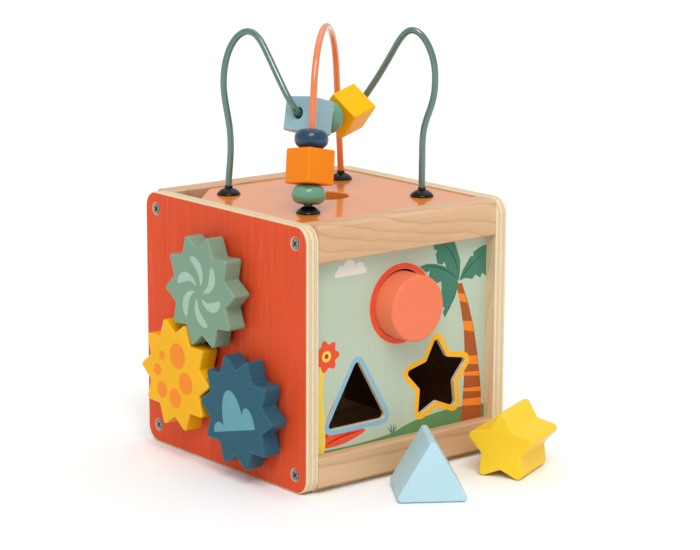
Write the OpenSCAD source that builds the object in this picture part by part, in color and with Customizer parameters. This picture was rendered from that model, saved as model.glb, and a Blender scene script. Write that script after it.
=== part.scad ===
// Wooden activity cube: a bead maze on a lift-off lid, three meshed gears on one side
// and a shape sorter with three blocks on the front.
// Millimetres. +Z is up. The sorter face looks along -Y and the gear face along -X.
// The origin is the middle of the base panel's underside.

/* [Cube] */
// width over the two side panels
body_w = 157; // [140:1:180]
// depth, front rails to back rails
body_d = 160; // [140:1:180]
// height of the side panels
body_h = 160; // [140:1:180]
// side panel thickness
side_t = 9; // [6:0.5:12]
// side panel corner radius
side_r = 10; // [4:1:16]
// thickness of the rails, front to back
rail_t = 16; // [12:0.5:20]
// height of the two top rails
top_rail_h = 22; // [18:0.5:26]
// height of the two bottom rails
low_rail_h = 18; // [14:0.5:24]
// base panel thickness, which is also the rails' height off the floor
base_t = 3.5; // [3:0.5:6]
// front and back panel thickness
panel_t = 3; // [2:0.5:4]
// how far the panels sit behind the rail faces
panel_in = 7.7; // [5:0.1:9]

/* [Lid] */
// lid thickness
lid_t = 9; // [6:0.5:12]
// gap around the lid
lid_gap = 0.5; // [0.4:0.1:1.5]
// size of the cut corner
lid_cut = 27; // [15:1:35]
// radius of the finger hole
finger_r = 14.5; // [10:0.5:18]
// width and height of the ledge strips
ledge = 8; // [5:0.5:12]

/* [Shape sorter] */
// radius of the round hole
hole_r = 21; // [16:0.5:24]
// side of the triangular hole, before rounding
tri_side = 47; // [36:1:50]
// tip radius of the star hole, before rounding
star_tip = 26.5; // [20:0.5:28]
// valley radius of the star hole, before rounding
star_valley = 14.5; // [10:0.5:17]
// gap between a block and its hole
block_gap = 0.8; // [0.5:0.1:2]
// length of the blocks
block_len = 40; // [30:1:45]

/* [Gears] */
// teeth on each gear
teeth = 10; // [8:1:14]
// distance between meshing gears
gear_step = 62.5; // [60:0.5:66]
// tooth tip radius, before rounding
gear_tip = 36; // [32:0.5:38]
// tooth valley radius, before rounding
gear_valley = 26.5; // [22:0.5:28]
// gear thickness
gear_t = 12.5; // [9:0.5:16]
// space between a gear and the side panel
gear_gap = 2.5; // [2:0.1:4]
// axle radius
axle_r = 4; // [3:0.5:6]
// running clearance of an axle in its bore
run_gap = 0.08; // [0.02:0.01:0.1]

/* [Bead maze] */
// wire radius
wire_r = 2.1; // [1.5:0.1:2.5]
// wire feet, half the spacing from left to right
foot_x = 44.8; // [40:0.2:50]
// wire feet, half the spacing from front to back
foot_y = 39.2; // [34:0.2:44]
// radius of the plain arch
arch_r = 42; // [36:1:46]
// height of the plain arch's centre
arch_z = 221; // [205:1:235]
// edge of a cube bead
cube_a = 21; // [18:0.5:24]
// radius of a disc bead
disc_r = 10.2; // [8:0.2:12]
// thickness of a disc bead
disc_t = 11.4; // [9:0.1:14]
// radius of the hole through a bead
bead_bore = 3.5; // [2.8:0.1:4]

/* [Hidden] */
$fn = 64;

// ---- derived sizes ----
half_w = body_w / 2;
half_d = body_d / 2;
inner_w = body_w - 2 * side_t;
panel_y = half_d - panel_in;
groove = 3.5;
groove_gap = 0.1;
low_top = base_t + low_rail_h;
top_low = body_h - top_rail_h;
panel_z0 = low_top - groove;
panel_z1 = top_low + groove - 0.5;
lid_top = body_h - 1;
lid_z = lid_top - lid_t;
ledge_top = lid_z - 0.4;
lid_hx = inner_w / 2 - lid_gap;
lid_hy = half_d - rail_t - lid_gap;

// fixing screws: countersunk head, shank, length, and their places on a side panel
screw_head = 3.3;
screw_head_h = 1.8;
screw_shank = 1.7;
screw_len = 28;
screw_y = half_d - 11;
screw_z = [11, body_h - 10.5];

// hole centres in the front panel, as [x, z]
round_at = [0, 103.7];
tri_at = [-33.8, 34.6];
star_at = [29.5, 52.8];
star_turn = 1.5;
tri_round = 2.5;
star_round = 2.2;

// gears: centres on the side panel as [y, z], tooth phases from the mesh
gear_front = -half_w - gear_gap - gear_t;
gear_back = -half_w - gear_gap;
pitch = 360 / teeth;
tooth_round = 2;
valley_round = 1.5;
green_dir = 115;
blue_dir = 189.7;
yellow_at = [31, 53.5];
green_at = yellow_at + gear_step * [cos(green_dir), sin(green_dir)];
blue_at = yellow_at + gear_step * [cos(blue_dir), sin(blue_dir)];
yellow_phase = 0.8;
green_phase = 2 * green_dir + 180 + pitch / 2 - yellow_phase;
blue_phase = 2 * blue_dir + 180 + pitch / 2 - yellow_phase;
spacer_r = 8;
side_play = 0.4;
axle_in = -half_w + side_t + side_play;

// plain arch: legs lean in from a small bend above each foot, tangent to the arch
diag_half = norm([foot_x, foot_y]);
diag_dir = atan2(foot_y, foot_x);
kink_z = lid_top + 5.5;
bend_r = 12;
lean = atan2(diag_half, arch_z - kink_z) - asin(arch_r / norm([diag_half, arch_z - kink_z]));
bend_cut = bend_r * tan(lean / 2);
wire_z0 = lid_z + 0.5;

// places of the three stacked beads along the leaning leg, above the bend
bead_space = 0.35;
stack_low = 5.5;
stack_at = [for (i = [0 : 2]) stack_low + i * ((disc_t + cube_a) / 2 + bead_space)];

// dip of the looping wire: a shallow arc in a vertical plane
dip_dir = 10.5;
dip_r = 75;
dip_low = [1.7, -2.7, 208];
dip_turn = 14.2;
dip_mid = -1.4;

// ---- helpers ----
function unit(v) = v / norm(v);

// one rounded corner of an outline, from p0 past p1 to p2
function corner(p0, p1, p2, r, n = 6) =
  r <= 0 ? [p1] :
  let (u = unit(p0 - p1), v = unit(p2 - p1), h = acos(u * v) / 2,
       c = p1 + unit(u + v) * r / sin(h),
       a = p1 + u * r / tan(h) - c, b = p1 + v * r / tan(h) - c,
       a0 = atan2(a.y, a.x),
       da = (atan2(b.y, b.x) - a0 + 540) % 360 - 180)
  [for (i = [0 : n]) c + r * [cos(a0 + da * i / n), sin(a0 + da * i / n)]];

// an outline with every corner rounded by its own radius
function rounded(p, r) =
  let (n = len(p))
  [for (i = [0 : n - 1]) each corner(p[(i + n - 1) % n], p[i], p[(i + 1) % n], r[i])];

function same(r, n) = [for (i = [1 : n]) r];

// a rectangle from low corner to high corner
function rect(a, b) = [a, [b.x, a.y], b, [a.x, b.y]];

// a star or gear outline: n tips at radius ra from angle start, valleys at radius rb
function spiky(n, ra, rb, start) =
  [for (i = [0 : 2 * n - 1]) let (a = start + 180 * i / n) (i % 2 == 0 ? ra : rb) * [cos(a), sin(a)]];

function spiky_radii(n, ra, rb) = [for (i = [0 : 2 * n - 1]) i % 2 == 0 ? ra : rb];

// a star outline moved inwards by gap
function star_points(gap, r, turn) =
  let (h = atan2(star_valley * sin(36), star_tip - star_valley * cos(36)))
  rounded(spiky(5, star_tip - gap / sin(h), star_valley - gap / sin(36 + h), 90 + turn),
    spiky_radii(5, r, r));

// an upright triangle of equal sides on its base, moved inwards by gap
function tri_points(gap) =
  let (s = tri_side - 2 * sqrt(3) * gap)
  rounded([[-s / 2, 0], [s / 2, 0], [0, s * sqrt(3) / 2]], same(tri_round, 3));

// a smooth curve through a route of points: cubic B-spline with k steps a span
function spline(p, k) =
  [for (i = [0 : len(p) - 4]) for (j = [0 : k - 1]) let (t = j / k)
    (pow(1 - t, 3) * p[i] + (3 * pow(t, 3) - 6 * pow(t, 2) + 4) * p[i + 1]
      + (-3 * pow(t, 3) + 3 * pow(t, 2) + 3 * t + 1) * p[i + 2] + pow(t, 3) * p[i + 3]) / 6];

function headings(p) =
  let (n = len(p), s = [for (i = [0 : n - 2]) unit(p[i + 1] - p[i])])
  [for (i = [0 : n - 1]) unit(s[max(i - 1, 0)] + s[min(i, n - 2)])];

// side directions carried along a route without twist
function sides(h, i, u) =
  i >= len(h) ? [] :
  let (v = unit(u - (u * h[i]) * h[i])) concat([v], sides(h, i + 1, v));

// ---- shape tools ----
// an outline in y and z, drawn along +X from x0
module along_x(x0, t) {
  translate([x0, 0, 0])
    rotate([90, 0, 90])
      linear_extrude(t)
        children();
}

// an outline in x and z, drawn from y1 - t to y1
module along_y(y1, t) {
  translate([0, y1, 0])
    rotate([90, 0, 0])
      linear_extrude(t)
        children();
}

// a round rod or hole along +X from x0
module rod_x(x0, t, r, at) {
  translate([x0, at[0], at[1]])
    rotate([0, 90, 0])
      cylinder(h = t, r = r);
}

// a round tube swept along a route
module tube(path, r, n = 12) {
  h = headings(path);
  u = sides(h, 0, abs(h[0].x) < 0.9 ? [1, 0, 0] : [0, 1, 0]);
  m = len(path);
  pts = [for (i = [0 : m - 1]) for (j = [0 : n - 1])
    path[i] + r * (cos(360 * j / n) * u[i] + sin(360 * j / n) * cross(h[i], u[i]))];
  walls = [for (i = [0 : m - 2]) for (j = [0 : n - 1])
    let (a = i * n + j, b = i * n + (j + 1) % n)
      each [[a, a + n, b], [b, a + n, b + n]]];
  ends = [[for (j = [0 : n - 1]) j], [for (j = [0 : n - 1]) m * n - 1 - j]];
  polyhedron(points = pts, faces = concat(walls, ends), convexity = 8);
}

// ---- frame ----
module at_screws() {
  for (y = [-screw_y, screw_y])
    for (z = screw_z)
      translate([0, y, z])
        children();
}

// a countersunk screw, head face at the origin, pointing along +Z
module wood_screw() {
  difference() {
    union() {
      cylinder(h = screw_head_h, r1 = screw_head, r2 = screw_shank);
      cylinder(h = screw_len, r = screw_shank);
      translate([0, 0, screw_len])
        cylinder(h = 1.5, r1 = screw_shank, r2 = 0.3);
    }
    for (a = [45, 135])
      rotate([0, 0, a])
        translate([-2.2, -0.45, -1])
          cube([4.4, 0.9, 2.6]);
  }
}

module side_panel(s) {
  x0 = s < 0 ? -half_w : half_w - side_t;
  difference() {
    along_x(x0, side_t)
      polygon(rounded(rect([-half_d, 0], [half_d, body_h]), same(side_r, 4)));
    at_screws()
      translate([s * half_w, 0, 0])
        rotate([0, -90 * s, 0])
          union() {
            cylinder(h = screw_head_h, r1 = screw_head, r2 = screw_shank);
            cylinder(h = side_t + 1, r = screw_shank);
          }
    if (s < 0)
      for (at = [green_at, yellow_at, blue_at])
        rod_x(x0 - 1, side_t + 2, axle_r + run_gap, at);
  }
}

module side_panel_left() {
  color([0.85, 0.33, 0.19]) side_panel(-1);
}

module side_panel_right() {
  color([0.90, 0.82, 0.69]) side_panel(1);
}

module screws(s) {
  at_screws()
    translate([s * half_w, 0, 0])
      rotate([0, -90 * s, 0])
        wood_screw();
}

module panel_screws_left() {
  color([0.7, 0.7, 0.72]) screws(-1);
}

module panel_screws_right() {
  color([0.7, 0.7, 0.72]) screws(1);
}

// s is -1 at the front and 1 at the back; z0 and z1 are the rail's ends
module rail(s, z0, z1, radii, groove_z) {
  y0 = min(s * half_d, s * (half_d - rail_t));
  gy = s < 0 ? -panel_y - groove_gap : panel_y - panel_t - groove_gap;
  difference() {
    along_x(-inner_w / 2, inner_w)
      polygon(rounded(rect([y0, z0], [y0 + rail_t, z1]), radii));
    translate([-half_w, gy, groove_z])
      cube([body_w, panel_t + 2 * groove_gap, groove]);
    for (t = [-1, 1])
      at_screws()
        translate([t * half_w, 0, 0])
          rotate([0, -90 * t, 0])
            cylinder(h = screw_len + 2, r = screw_shank);
  }
}

module front_top_rail() {
  color([0.85, 0.72, 0.55]) rail(-1, top_low, body_h, [1, 0, 1, 3], top_low);
}

module front_bottom_rail() {
  color([0.85, 0.72, 0.55]) rail(-1, base_t, low_top, [1, 0, 1, 1], low_top - groove);
}

module back_top_rail() {
  color([0.85, 0.72, 0.55]) rail(1, top_low, body_h, [0, 1, 3, 1], top_low);
}

module back_bottom_rail() {
  color([0.85, 0.72, 0.55]) rail(1, base_t, low_top, [0, 1, 1, 1], low_top - groove);
}

module thin_panel(y1) {
  along_y(y1, panel_t)
    polygon(rect([-inner_w / 2, panel_z0], [inner_w / 2, panel_z1]));
}

module front_panel() {
  color([0.72, 0.80, 0.72])
    difference() {
      thin_panel(-panel_y + panel_t);
      translate([round_at.x, -half_d, round_at.y])
        rotate([-90, 0, 0])
          cylinder(h = 2 * rail_t, r = hole_r);
      translate([tri_at.x, 0, tri_at.y])
        along_y(-half_d + 2 * rail_t, 2 * rail_t)
          polygon(tri_points(0));
      translate([star_at.x, 0, star_at.y])
        along_y(-half_d + 2 * rail_t, 2 * rail_t)
          polygon(star_points(0, star_round, star_turn));
    }
}

module back_panel() {
  color([0.80, 0.66, 0.47]) thin_panel(panel_y);
}

module base_panel() {
  color([0.80, 0.66, 0.47])
    translate([-inner_w / 2, -half_d + 6, 0])
      cube([inner_w, body_d - 12, base_t]);
}

// the left strip stops short of the lid's cut corner
module ledge_strip(s, y1) {
  translate([s < 0 ? -inner_w / 2 : inner_w / 2 - ledge, -60, ledge_top - ledge])
    cube([ledge, 60 + y1, ledge]);
}

module ledge_left() {
  color([0.80, 0.66, 0.47]) ledge_strip(-1, 33);
}

module ledge_right() {
  color([0.80, 0.66, 0.47]) ledge_strip(1, 60);
}

// ---- lid and wires ----
module at_feet() {
  for (x = [-foot_x, foot_x])
    for (y = [-foot_y, foot_y])
      translate([x, y, 0])
        children();
}

module lid() {
  color([0.92, 0.45, 0.12])
    difference() {
      translate([0, 0, lid_z])
        linear_extrude(lid_t)
          polygon(rounded([[-lid_hx, -lid_hy], [lid_hx, -lid_hy], [lid_hx, lid_hy],
            [-lid_hx + lid_cut, lid_hy], [-lid_hx, lid_hy - lid_cut]], [4, 4, 4, 8, 8]));
      translate([0, 0, lid_z - 1])
        cylinder(h = lid_t + 2, r = finger_r);
      at_feet()
        translate([0, 0, lid_z - 1])
          cylinder(h = lid_t + 2, r = wire_r + 0.05);
    }
}

cap_r = 7.3;
cap_h = 4.5;
cap_edge = 0.8;
cap_dome = (pow(cap_r, 2) + pow(cap_h - cap_edge, 2)) / (2 * (cap_h - cap_edge));

module wire_caps() {
  low = cap_h - cap_dome;
  a0 = acos(cap_r / cap_dome);
  bore = wire_r + 0.05;
  a1 = acos(bore / cap_dome);
  color([0.06, 0.06, 0.07])
    at_feet()
      translate([0, 0, lid_top])
        rotate_extrude()
          polygon(concat([[bore, 0], [cap_r, 0]],
            [for (i = [0 : 8]) let (a = a0 + (a1 - a0) * i / 8) [0, low] + cap_dome * [cos(a), sin(a)]]));
}

// the plain arch's route, left foot to right, as [along the diagonal, up]
function turned(c, r, a0, a1, n) =
  [for (i = [0 : n]) let (a = a0 + (a1 - a0) * i / n) c + r * [cos(a), sin(a)]];

bend_at = [-diag_half + bend_r, kink_z - bend_cut];
left_leg = concat([[-diag_half, wire_z0]], turned(bend_at, bend_r, 180, 180 - lean, 4));
over_arch = turned([0, arch_z], arch_r, 180 - lean, lean, 36);
right_leg = [for (i = [len(left_leg) - 1 : -1 : 0]) [-left_leg[i].x, left_leg[i].y]];
arch_route = [for (q = concat(left_leg, over_arch, right_leg))
  [q[0] * cos(diag_dir), q[0] * sin(diag_dir), q[1]]];

module orange_wire() {
  color([0.90, 0.45, 0.22]) tube(arch_route, wire_r, 16);
}

// a point on the dip's arc at angle a from its lowest point
function dip_point(a) =
  dip_low + dip_r * [sin(a) * cos(dip_dir), sin(a) * sin(dip_dir), 1 - cos(a)];

// the looping wire's route: along the diagonal between its feet, sideways, and up
function on_diag(q) =
  let (e = unit([foot_x, -foot_y, 0]), f = unit([foot_y, foot_x, 0])) q[0] * e + q[1] * f + [0, 0, q[2]];

loop_up = [[-59.5, 0, 142], [-59.5, 0, 150.5], [-59.5, 0, 159], [-59.5, 0, 164.5], [-59.5, 0, 170],
  [-58.5, 0, 179], [-57.9, 0, 190], [-58.5, 0, 200], [-59.8, 0, 208], [-61.2, 0, 216], [-62.5, 0, 226], [-62, 0, 236], [-60, 0, 245.5],
  [-56.5, 0, 253.5], [-52, -1, 258.5], [-47.5, -2.5, 260.5], [-43, -5, 259.5], [-39, -8, 255.5],
  [-35, -12.5, 248.5], [-30.5, -18, 240], [-26, -23, 231.5], [-22, -26.5, 224], [-18.5, -27.5, 218.5]];
loop_down = [[24.5, 23.5, 218.5], [30, 21.5, 227], [35.5, 17.5, 236.5], [41, 12, 247], [44.5, 8, 254],
  [48.5, 5, 259.5], [52.5, 2.5, 261.5], [57, 1, 260], [61.5, 0, 254.5], [65, 0, 246.5],
  [66.8, 0, 238], [67, 0, 229], [66.3, 0, 220], [63.7, 0, 212], [61, 0, 204.5], [59.5, 0, 196],
  [59.5, 0, 185], [59.5, 0, 172], [59.5, 0, 159], [59.5, 0, 150.5], [59.5, 0, 142]];
dip_route = [for (a = [-26 : 5.5 : 24]) dip_point(a)];
green_route = concat([for (q = loop_up) on_diag(q)], dip_route, [for (q = loop_down) on_diag(q)]);

module green_wire() {
  color([0.37, 0.55, 0.49]) tube(spline(green_route, 2), wire_r);
}

// ---- beads ----
module bead_cube() {
  a = cube_a / 2;
  face = rounded(rect([-a, -a], [a, a]), same(1.2, 4));
  difference() {
    intersection() {
      translate([0, 0, -a])
        linear_extrude(cube_a)
          polygon(face);
      along_x(-a, cube_a)
        polygon(face);
      along_y(a, cube_a)
        polygon(face);
    }
    translate([0, 0, -a - 1])
      cylinder(h = cube_a + 2, r = bead_bore);
  }
}

module bead_disc() {
  rotate_extrude()
    polygon(rounded(rect([bead_bore, -disc_t / 2], [disc_r, disc_t / 2]), [0.6, 5.2, 5.2, 0.6]));
}

module on_leg(d, spin) {
  translate([-foot_x, -foot_y, kink_z])
    rotate([0, 0, diag_dir])
      rotate([0, lean, 0])
        translate([0, 0, d])
          rotate([0, 0, spin])
            children();
}

module on_dip(a, spin) {
  translate(dip_point(a))
    rotate([0, 0, dip_dir])
      rotate([0, 90 - a, 0])
        rotate([0, 0, spin])
          children();
}

module stack_green_disc() {
  color([0.41, 0.65, 0.53]) on_leg(stack_at[0], 0) bead_disc();
}

module stack_orange_cube() {
  color([0.96, 0.55, 0.10]) on_leg(stack_at[1], 3 - diag_dir) bead_cube();
}

module stack_blue_disc() {
  color([0.12, 0.29, 0.47]) on_leg(stack_at[2], 0) bead_disc();
}

module dip_blue_cube() {
  color([0.61, 0.75, 0.78]) on_dip(dip_mid - dip_turn, -5) bead_cube();
}

module dip_green_disc() {
  color([0.41, 0.65, 0.53]) on_dip(dip_mid, 0) bead_disc();
}

module dip_yellow_cube() {
  color([0.99, 0.72, 0.06]) on_dip(dip_mid + dip_turn, 42) bead_cube();
}

// ---- gears ----
module gear(at, phase) {
  difference() {
    translate([0, at[0], at[1]])
      along_x(gear_front, gear_t)
        polygon(rounded(spiky(teeth, gear_tip, gear_valley, phase),
          spiky_radii(teeth, tooth_round, valley_round)));
    rod_x(gear_back - 10, 11, axle_r, at);
  }
}

module axle(at) {
  difference() {
    rod_x(gear_back - 10, axle_in - gear_back + 10, axle_r, at);
    rod_x(axle_in - 13, 14, screw_shank, at);
  }
}

module spacer(at) {
  difference() {
    rod_x(gear_back, gear_gap - side_play, spacer_r, at);
    rod_x(gear_back - 1, gear_gap + 2, axle_r, at);
  }
}

module washer(at) {
  difference() {
    rod_x(axle_in, 1.2, spacer_r, at);
    rod_x(axle_in - 1, 4, screw_shank, at);
  }
}

// a pan-head screw from inside the cube into the axle's end
module axle_screw(at) {
  difference() {
    union() {
      rod_x(axle_in - 12, 14, screw_shank, at);
      translate([axle_in + 1.2, at[0], at[1]])
        rotate([0, 90, 0])
          union() {
            cylinder(h = 1.2, r = 3.8);
            translate([0, 0, 1.2])
              cylinder(h = 1.2, r1 = 3.8, r2 = 2.6);
          }
    }
    for (a = [45, 135])
      translate([axle_in + 2.4, at[0], at[1]])
        rotate([a, 0, 0])
          translate([0, -2, -0.4])
            cube([3, 4, 0.8]);
  }
}

module green_gear() {
  color([0.45, 0.62, 0.54]) gear(green_at, green_phase);
}

module green_axle() {
  color([0.80, 0.66, 0.47]) axle(green_at);
}

module green_spacer() {
  color([0.80, 0.66, 0.47]) spacer(green_at);
}

module green_washer() {
  color([0.7, 0.7, 0.72]) washer(green_at);
}

module green_screw() {
  color([0.7, 0.7, 0.72]) axle_screw(green_at);
}

module yellow_gear() {
  color([0.94, 0.71, 0.08]) gear(yellow_at, yellow_phase);
}

module yellow_axle() {
  color([0.80, 0.66, 0.47]) axle(yellow_at);
}

module yellow_spacer() {
  color([0.80, 0.66, 0.47]) spacer(yellow_at);
}

module yellow_washer() {
  color([0.7, 0.7, 0.72]) washer(yellow_at);
}

module yellow_screw() {
  color([0.7, 0.7, 0.72]) axle_screw(yellow_at);
}

module blue_gear() {
  color([0.16, 0.36, 0.45]) gear(blue_at, blue_phase);
}

module blue_axle() {
  color([0.80, 0.66, 0.47]) axle(blue_at);
}

module blue_spacer() {
  color([0.80, 0.66, 0.47]) spacer(blue_at);
}

module blue_washer() {
  color([0.7, 0.7, 0.72]) washer(blue_at);
}

module blue_screw() {
  color([0.7, 0.7, 0.72]) axle_screw(blue_at);
}

// ---- sorting blocks ----
round_r = hole_r - block_gap;

module round_block() {
  color([0.94, 0.51, 0.37])
    translate([round_at.x, -48, round_at.y - block_gap + 0.35])
      rotate([90, 0, 0])
        rotate_extrude()
          polygon([[0, 0], [round_r - 0.8, 0], [round_r, 0.8], [round_r, block_len - 0.8],
            [round_r - 0.8, block_len], [0, block_len]]);
}

module triangle_block() {
  color([0.76, 0.90, 0.93])
    translate([-27.6, -133.4, 0])
      rotate([0, 0, -34])
        along_y(block_len, block_len)
          polygon(tri_points(block_gap));
}

star_gap = block_gap + 0.2;
star_soft = 2.8;
star_half = atan2(star_valley * sin(36), star_tip - star_valley * cos(36));
star_foot = (star_tip - (star_gap + star_soft) / sin(star_half)) * sin(54) + star_soft;

module star_block() {
  color([0.99, 0.83, 0.25])
    translate([35.9, -122.6, star_foot])
      rotate([0, 0, -66.5])
        along_y(block_len, block_len)
          polygon(star_points(star_gap, star_soft, 0));
}

// ---- drawing ----
side_panel_left();
side_panel_right();
front_top_rail();
front_bottom_rail();
back_top_rail();
back_bottom_rail();
front_panel();
back_panel();
base_panel();
ledge_left();
ledge_right();
panel_screws_left();
panel_screws_right();
lid();
green_wire();
orange_wire();
wire_caps();
green_gear();
green_axle();
green_spacer();
green_washer();
green_screw();
yellow_gear();
yellow_axle();
yellow_spacer();
yellow_washer();
yellow_screw();
blue_gear();
blue_axle();
blue_spacer();
blue_washer();
blue_screw();
stack_green_disc();
stack_orange_cube();
stack_blue_disc();
dip_blue_cube();
dip_green_disc();
dip_yellow_cube();
round_block();
triangle_block();
star_block();
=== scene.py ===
"""Looks of the wooden activity cube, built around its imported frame.

All places are in the frame's own axes: +Z up, the sorter face towards -Y, the gear face
towards -X. Shapes are drawn in millimetres and placed in metres.
"""

import logging
import math
from dataclasses import dataclass, field, replace
from enum import Enum
from typing import Callable, ClassVar, Sequence

import bpy
import numpy as np
from mathutils import Matrix, Vector
from mathutils.geometry import delaunay_2d_cdt


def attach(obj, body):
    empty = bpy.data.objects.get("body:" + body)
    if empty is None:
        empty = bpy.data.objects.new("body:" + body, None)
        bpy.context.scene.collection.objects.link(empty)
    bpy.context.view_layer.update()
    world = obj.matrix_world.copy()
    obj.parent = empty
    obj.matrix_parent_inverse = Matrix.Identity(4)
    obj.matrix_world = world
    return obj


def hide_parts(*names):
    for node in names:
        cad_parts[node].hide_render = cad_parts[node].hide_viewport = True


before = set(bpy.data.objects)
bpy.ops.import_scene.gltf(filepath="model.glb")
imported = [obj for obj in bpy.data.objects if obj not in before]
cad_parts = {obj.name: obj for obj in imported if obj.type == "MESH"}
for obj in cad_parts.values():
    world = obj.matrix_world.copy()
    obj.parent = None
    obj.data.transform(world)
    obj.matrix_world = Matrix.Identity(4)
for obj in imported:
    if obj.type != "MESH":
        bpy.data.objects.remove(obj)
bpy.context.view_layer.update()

LOG = logging.getLogger("activity_cube")
MM = 0.001
METRES = Matrix.Scale(MM, 4)
ON_AXIS = 1e-6
LEAF_STEPS = 24
STRAIGHT = math.radians(89.5)

Point = tuple[float, float]
Place = tuple[float, float, float]
Outline = list[Point]
Print = list[tuple[Outline, int]]


# ---------------------------------------------------------------- outlines, in millimetres


def polar(radius: float, degrees: float, centre: Point = (0.0, 0.0)) -> Point:
    """Returns the point at a radius and an angle round a centre."""
    a = math.radians(degrees)
    return (centre[0] + radius * math.cos(a), centre[1] + radius * math.sin(a))


def circle(radius: float, centre: Point = (0.0, 0.0), count: int = 96) -> Outline:
    """Returns a circle's outline, anticlockwise."""
    return [polar(radius, 360 * i / count, centre) for i in range(count)]


def rectangle(low: Point, high: Point) -> Outline:
    """Returns a rectangle's outline, anticlockwise."""
    return [low, (high[0], low[1]), high, (low[0], high[1])]


def eased_corner(before: Point, at: Point, after: Point, radius: float, steps: int) -> Outline:
    """Rounds one corner of an outline with an arc that touches both its sides.

    Args:
        before: the outline's point ahead of the corner.
        at: the corner.
        after: the outline's point behind the corner.
        radius: the arc's radius, or 0 to keep the corner.
        steps: how many chords the arc has.

    Returns:
        The arc's points, in the outline's order.
    """
    if radius <= 0:
        return [at]
    p = np.array(at)
    u = np.array(before) - p
    v = np.array(after) - p
    u /= np.linalg.norm(u)
    v /= np.linalg.norm(v)
    half = math.acos(max(-1.0, min(1.0, float(u @ v)))) / 2
    if half > STRAIGHT:
        return [at]
    centre = p + (u + v) / np.linalg.norm(u + v) * radius / math.sin(half)
    start = p + u * radius / math.tan(half) - centre
    end = p + v * radius / math.tan(half) - centre
    a0 = math.atan2(start[1], start[0])
    turn = (math.atan2(end[1], end[0]) - a0 + 3 * math.pi) % (2 * math.pi) - math.pi
    angles = [a0 + turn * i / steps for i in range(steps + 1)]
    return [(centre[0] + radius * math.cos(a), centre[1] + radius * math.sin(a)) for a in angles]


def eased(outline: Outline, radii: Sequence[float], steps: int = 8) -> Outline:
    """Rounds each corner of an outline by its own radius."""
    count = len(outline)
    result: Outline = []
    for i, radius in enumerate(radii):
        result += eased_corner(outline[i - 1], outline[i], outline[(i + 1) % count], radius, steps)
    return result


def spiky(tips: int, tip: float, valley: float, start: float) -> Outline:
    """Returns a star or gear outline with sharp tips and valleys, from the angle start."""
    return [polar(tip if i % 2 == 0 else valley, start + 180 * i / tips) for i in range(2 * tips)]


def flowing(points: Outline, steps: int = 6) -> Outline:
    """Returns a smooth closed curve through some points."""
    count = len(points)
    result: Outline = []
    for i in range(count):
        a, b, c, d = (np.array(points[(i + k) % count]) for k in (-1, 0, 1, 2))
        for j in range(steps):
            t = j / steps
            q = 0.5 * (2 * b + (c - a) * t + (2 * a - 5 * b + 4 * c - d) * t**2
                       + (3 * b - a - 3 * c + d) * t**3)
            result.append((float(q[0]), float(q[1])))
    return result


def moved(outline: Outline, by: Point, turn: float = 0.0) -> Outline:
    """Returns an outline turned about the origin and then moved."""
    c, s = math.cos(math.radians(turn)), math.sin(math.radians(turn))
    return [(x * c - y * s + by[0], x * s + y * c + by[1]) for x, y in outline]


def leaf(base: Point, tip: Point, bend: float, width: float) -> Outline:
    """Returns a curved leaf from its base to its tip.

    Args:
        base: where the leaf grows from.
        tip: where it ends.
        bend: how far its middle line bows to the left of the way from base to tip.
        width: half its greatest width.

    Returns:
        The leaf's closed outline.
    """
    a, b = np.array(base), np.array(tip)
    side = np.array([-(b - a)[1], (b - a)[0]]) / np.linalg.norm(b - a)
    middle = (a + b) / 2 + side * bend * 2
    left: Outline = []
    right: Outline = []
    for i in range(LEAF_STEPS + 1):
        t = i / LEAF_STEPS
        p = (1 - t) ** 2 * a + 2 * t * (1 - t) * middle + t**2 * b
        way = (1 - t) * (middle - a) + t * (b - middle)
        n = np.array([-way[1], way[0]]) / np.linalg.norm(way)
        half = width * math.sin(math.pi * min(1.0, t * 0.97 + 0.03)) ** 0.75
        left.append(tuple(p + n * half))
        right.append(tuple(p - n * half))
    return left + right[::-1][1:-1]


# ---------------------------------------------------------------- placing and mesh building


def placed(origin: Sequence[float], u: Sequence[float], v: Sequence[float]) -> Matrix:
    """Returns the matrix from a drawing's millimetres to the frame.

    Args:
        origin: the drawing's origin in the frame, in millimetres.
        u: the frame direction of the drawing's first axis.
        v: the frame direction of its second axis.

    Returns:
        A 4x4 matrix whose third axis is u cross v.
    """
    a, b = Vector(u).normalized(), Vector(v).normalized()
    turn = Matrix((a, b, a.cross(b))).transposed().to_4x4()
    return shifted(origin) @ turn @ METRES


def shifted(by: Sequence[float]) -> Matrix:
    """Returns the matrix of a shift given in millimetres."""
    return Matrix.Translation(Vector(by) * MM)


def turned(degrees: float, axis: str) -> Matrix:
    """Returns the matrix of a turn about one of the frame's axes."""
    return Matrix.Rotation(math.radians(degrees), 4, axis)


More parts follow.
